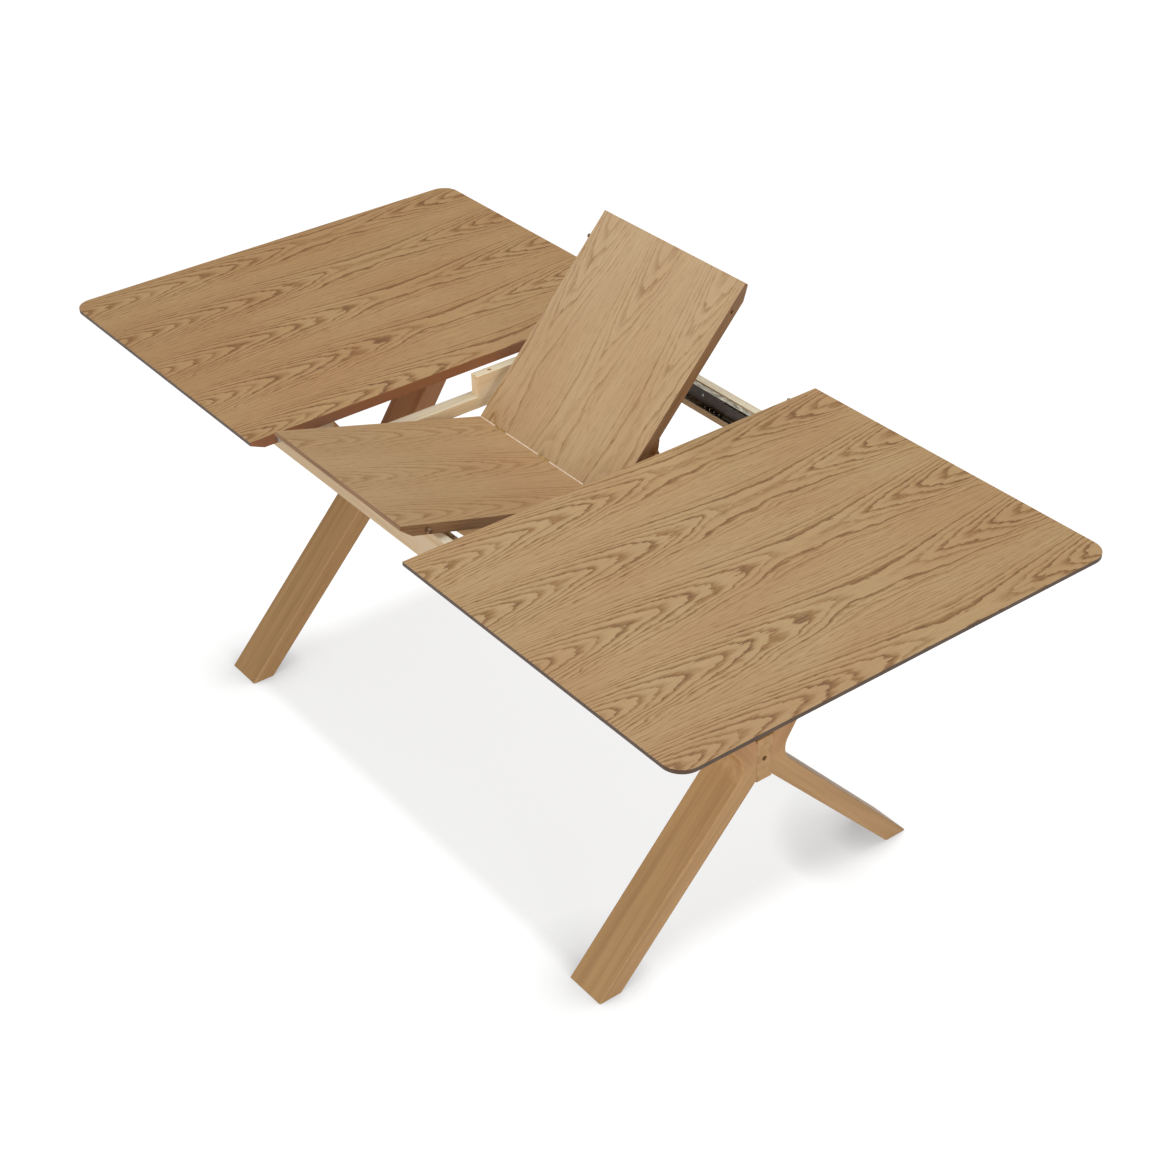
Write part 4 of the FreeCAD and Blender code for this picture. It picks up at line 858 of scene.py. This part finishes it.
def punched_strip(low, high, count):
    """A ball cage's strip between two corners, with its punched holes, as a mesh to copy."""
    strip = bmesh.new()
    bmesh.ops.create_grid(strip, x_segments=count, y_segments=1, size=0.5)
    bmesh.ops.scale(strip, vec=(high.x - low.x, high.y - low.y, 1), verts=strip.verts)
    cells = list(strip.faces)
    bmesh.ops.inset_individual(strip, faces=cells, thickness=CELL_RIM)
    for cell in cells:
        centre = cell.calc_center_median()
        for vert in cell.verts:
            vert.co.x = centre.x + math.copysign(HOLE_HALF, vert.co.x - centre.x)
        bmesh.ops.bevel(strip, geom=list(cell.verts), offset=HOLE_CORNER, segments=1,
                        profile=0.5, affect="VERTICES", material=-1)
    holes = [f for f in strip.faces if len(f.verts) == 8 and f.calc_area() < HOLE_AREA]
    bmesh.ops.delete(strip, geom=holes, context="FACES_ONLY")
    bmesh.ops.solidify(strip, geom=strip.faces, thickness=STRIP_THICK)
    middle = (low + high) / 2
    bmesh.ops.translate(strip, vec=middle + Vector((0, 0, STRIP_THICK / 2)), verts=strip.verts)
    mesh = bpy.data.meshes.new("strip")
    strip.to_mesh(mesh)
    strip.free()
    return mesh


class TABLE_OT_balls(bpy.types.Operator):
    """Ball cages of the slides: punched steel strips that hold bright balls"""

    bl_idname = "table.balls"
    bl_label = "Balls and cages"

    def execute(self, context):
        pitch = context.scene.table_finish.ball_pitch
        # The cage strips are painted near black, as the shade inside the slides' channels.
        black = drawn_metal("shade_dark_cage_strip", "#2E2C29", 0.5)
        bright = drawn_metal("bearing_balls", "#E4E4E2", 0.12)
        for node in named("ball_strips"):
            cages, balls = bmesh.new(), bmesh.new()
            for corners in solids(node):
                low, high = Vector(corners.min(0)), Vector(corners.max(0))
                middle = (low + high) / 2
                count = round((high.x - low.x) / pitch)
                cages.from_mesh(punched_strip(low, high, count))
                for i in range(count):
                    x = low.x + (high.x - low.x) * (i + 0.5) / count
                    bmesh.ops.create_uvsphere(
                        balls, u_segments=10, v_segments=6, radius=(high.z - low.z) / 2,
                        matrix=Matrix.Translation((x, middle.y, middle.z)))
            cage = add_piece(node + "_cage", cages, body_with(node), black)
            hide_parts(node)
            add_piece(node + "_balls", balls, body_with(node), bright)
        return {"FINISHED"}


# The paper's linear colour as it lights the table, and the grey that takes the table's shadow.
PAPER_WARM = (0.8, 0.70, 0.60, 1)
PAPER_GREY = (0.16, 0.16, 0.16, 1)
# The paper reaches this far each way and lies this far under the feet.
FLOOR_HALF = 40
FLOOR_DROP = 0.5 * MM
# The soft shadow between the feet: how far inside the feet's corners its line lies along X and Y,
# the stretch of its edge past that line, and the paper's brightness in it and outside.
SHADOW_INSET = (0.03, 0.02)
SHADOW_EDGE = (-0.02, 0.03)
SHADOW_BRIGHT = (0.80, 0.97)
# How far the painted contact shadow darkens the paper round a foot, how far the painted shadow beside
# it reaches, and where the foot lies as seen from that side.
CONTACT_REACH = 0.06
SIDE_SHADOW_REACH = 0.14
SIDE_SHADOW_SIGHT = (0.50, 0.66, 0.56)
# The even light from all sides, of which the camera sees plain white.
AMBIENT = 0.22

# The lamps: place, the point that they look at, size and watts.
LAMPS = {
    "overhead_softbox": ((-0.3, 0.8, 3.4), (-0.3, 0.8, 0), (5.0, 3.6), 74),
    "near_fill": ((1.0, -3.6, 2.0), (0, 0, 0.6), (2.4, 1.6), 70),
    "right_fill": ((3.8, -0.2, 1.2), (0, 0, 0.5), (1.6, 2.0), 41),
    "sheen_card": ((-2.9, -1.5, 3.3), (0, 0.2, 0.8), (1.6, 1.6), 28),
}

# The camera, solved from the straight edges of the tops, the leaf and the feet; its turn is in
# degrees.
LENS_MM = 65.16584
SENSOR_MM = 36
CAMERA_PLACE = (2.71020, -1.90978, 2.63687)
CAMERA_TURN = (55.71652, 1.29242, 52.60111)
CAMERA_CLIP = (0.05, 200)


def aim(thing, target):
    """Turns a light or camera so that it looks at a point."""
    thing.rotation_euler = (Vector(target) - thing.location).to_track_quat("-Z", "Y").to_euler()


def area_light(name, place, target, size, watts):
    """A rectangular lamp that looks at a point."""
    light = bpy.data.lights.new(name, "AREA")
    light.shape = "RECTANGLE"
    light.size, light.size_y = size
    light.energy = watts
    thing = bpy.data.objects.new(name, light)
    bpy.context.collection.objects.link(thing)
    thing.location = place
    aim(thing, target)
    return thing


def paper_floor():
    """White studio paper, with the table's soft grey shadow between its four feet."""
    material, tree, surface = new_material("studio_paper")
    surface.inputs["Base Color"].default_value = PAPER_WARM
    surface.inputs["Roughness"].default_value = 0.9
    surface.inputs["Specular IOR Level"].default_value = 0.0
    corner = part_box("leg_right_near")[0]
    half = (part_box("leg_right_near")[1].x - SHADOW_INSET[0], -corner.y - SHADOW_INSET[1])
    place = add_node(tree, "ShaderNodeTexCoord").outputs["Object"]
    outward = add_node(tree, VECTOR, {0: place}, operation="ABSOLUTE").outputs[0]
    past = add_node(tree, VECTOR, {0: outward, 1: (*half, 0)}, operation="SUBTRACT").outputs[0]
    x, y = add_node(tree, "ShaderNodeSeparateXYZ", {0: past}).outputs[:2]
    # Along X the shadow's edge is drawn out to twice its length.
    slower = add_node(tree, MATH, {0: x, 1: 0.5}, operation="MULTIPLY").outputs[0]
    edge = add_node(tree, MATH, {0: slower, 1: y}, operation="MAXIMUM").outputs[0]
    shine = add_node(tree, RANGE, {
        0: edge, 1: SHADOW_EDGE[0], 2: SHADOW_EDGE[1], 3: SHADOW_BRIGHT[0],
        4: SHADOW_BRIGHT[1]}, interpolation_type="SMOOTHSTEP").outputs[0]
    contact = add_node(tree, "ShaderNodeAmbientOcclusion", {
        "Distance": CONTACT_REACH}, samples=8).outputs["AO"]
    dimmed = add_node(tree, RANGE, {0: contact, 1: 0.35, 2: 0.95, 3: 0.72, 4: 1.0}).outputs[0]
    # Painted shadow: looking up and to the far right, only the paper near and left of a foot is dimmed.
    sight = add_node(tree, "ShaderNodeCombineXYZ", dict(enumerate(SIDE_SHADOW_SIGHT))).outputs[0]
    beside = add_node(tree, "ShaderNodeAmbientOcclusion", {
        "Distance": SIDE_SHADOW_REACH, "Normal": sight}, samples=8).outputs["AO"]
    side_shadow = add_node(tree, RANGE, {0: beside, 1: 0.70, 2: 1.0, 3: 0.74, 4: 1.0}).outputs[0]
    contacts = add_node(tree, MATH, {0: dimmed, 1: side_shadow}, operation="MULTIPLY").outputs[0]
    bright = add_node(tree, MATH, {0: shine, 1: contacts}, operation="MULTIPLY").outputs[0]
    glow = add_node(tree, "ShaderNodeEmission", {"Strength": bright}).outputs[0]
    paper = add_node(tree, "ShaderNodeBsdfDiffuse", {"Color": PAPER_GREY}).outputs[0]
    seen = add_node(tree, "ShaderNodeAddShader", {0: glow, 1: paper}).outputs[0]
    path = add_node(tree, "ShaderNodeLightPath").outputs
    glossy = add_node(tree, MATH, {0: path["Is Camera Ray"], 1: path["Is Glossy Ray"]},
                      operation="MAXIMUM").outputs[0]
    direct = add_node(tree, MATH, {0: glossy, 1: path["Is Transmission Ray"]},
                      operation="MAXIMUM").outputs[0]
    mixed = add_node(tree, "ShaderNodeMixShader", {
        0: direct, 1: surface.outputs[0], 2: seen}).outputs[0]
    output = next(n for n in tree.nodes if n.type == "OUTPUT_MATERIAL")
    tree.links.new(mixed, output.inputs["Surface"])
    return material


class TABLE_OT_studio(bpy.types.Operator):
    """Pale floor, soft lights and the camera"""

    bl_idname = "table.studio"
    bl_label = "Studio"

    def execute(self, context):
        scene = context.scene
        shape = bmesh.new()
        bmesh.ops.create_grid(shape, x_segments=1, y_segments=1, size=FLOOR_HALF)
        mesh = bpy.data.meshes.new("floor")
        shape.to_mesh(mesh)
        shape.free()
        floor = bpy.data.objects.new("floor", mesh)
        floor.location.z = -FLOOR_DROP
        scene.collection.objects.link(floor)
        mesh.materials.append(paper_floor())

        world = bpy.data.worlds.new("studio")
        scene.world = world
        world.use_nodes = True
        tree = world.node_tree
        sky = next(n for n in tree.nodes if n.type == "BACKGROUND")
        path = add_node(tree, "ShaderNodeLightPath").outputs
        seen = add_node(tree, MATH, {0: path["Is Camera Ray"], 1: path["Is Transmission Ray"]},
                        operation="MAXIMUM").outputs[0]
        strength = add_node(tree, RANGE, {0: seen, 1: 0.0, 2: 1.0, 3: AMBIENT, 4: 1.0}).outputs[0]
        tree.links.new(strength, sky.inputs["Strength"])
        sky.inputs["Color"].default_value = (1, 1, 1, 1)

        for name, lamp in LAMPS.items():
            light = area_light(name, *lamp)
            # Only the lacquer mirrors the card, as the raised far panel's pale sheen.
            light.visible_diffuse = name != "sheen_card"

        camera = bpy.data.cameras.new("camera")
        camera.sensor_width = SENSOR_MM
        camera.lens = LENS_MM
        camera.clip_start, camera.clip_end = CAMERA_CLIP
        view = bpy.data.objects.new("camera", camera)
        scene.collection.objects.link(view)
        view.location = CAMERA_PLACE
        view.rotation_euler = Euler([math.radians(a) for a in CAMERA_TURN])
        scene.camera = view
        scene.view_settings.view_transform = "Standard"
        return {"FINISHED"}


class TABLE_PT_panel(bpy.types.Panel):
    """Lists the table's steps and finishes"""

    bl_label = "Extending table"
    bl_idname = "TABLE_PT_panel"
    bl_space_type = "VIEW_3D"
    bl_region_type = "UI"
    bl_category = "Table"

    def draw(self, context):
        for name in TableFinish.__annotations__:
            self.layout.prop(context.scene.table_finish, name)
        for step in STEPS:
            self.layout.operator(step.bl_idname)


STEPS = (TABLE_OT_studio, TABLE_OT_veneer, TABLE_OT_legs, TABLE_OT_frame_wood, TABLE_OT_metal,
         TABLE_OT_screws, TABLE_OT_balls)


def register():
    """Makes the add-on's classes and its finishes known."""
    for kind in (TableFinish, *STEPS, TABLE_PT_panel):
        bpy.utils.register_class(kind)
    bpy.types.Scene.table_finish = bpy.props.PointerProperty(type=TableFinish)


def unregister():
    """Takes the finishes and the classes out again."""
    del bpy.types.Scene.table_finish
    for kind in (TABLE_PT_panel, *reversed(STEPS), TableFinish):
        bpy.utils.unregister_class(kind)


def main():
    """Dresses the table."""
    register()
    bpy.ops.table.studio()
    bpy.ops.table.veneer()
    bpy.ops.table.legs()
    bpy.ops.table.frame_wood()
    bpy.ops.table.metal()
    bpy.ops.table.screws()
    bpy.ops.table.balls()


if __name__ == "__main__":
    main()
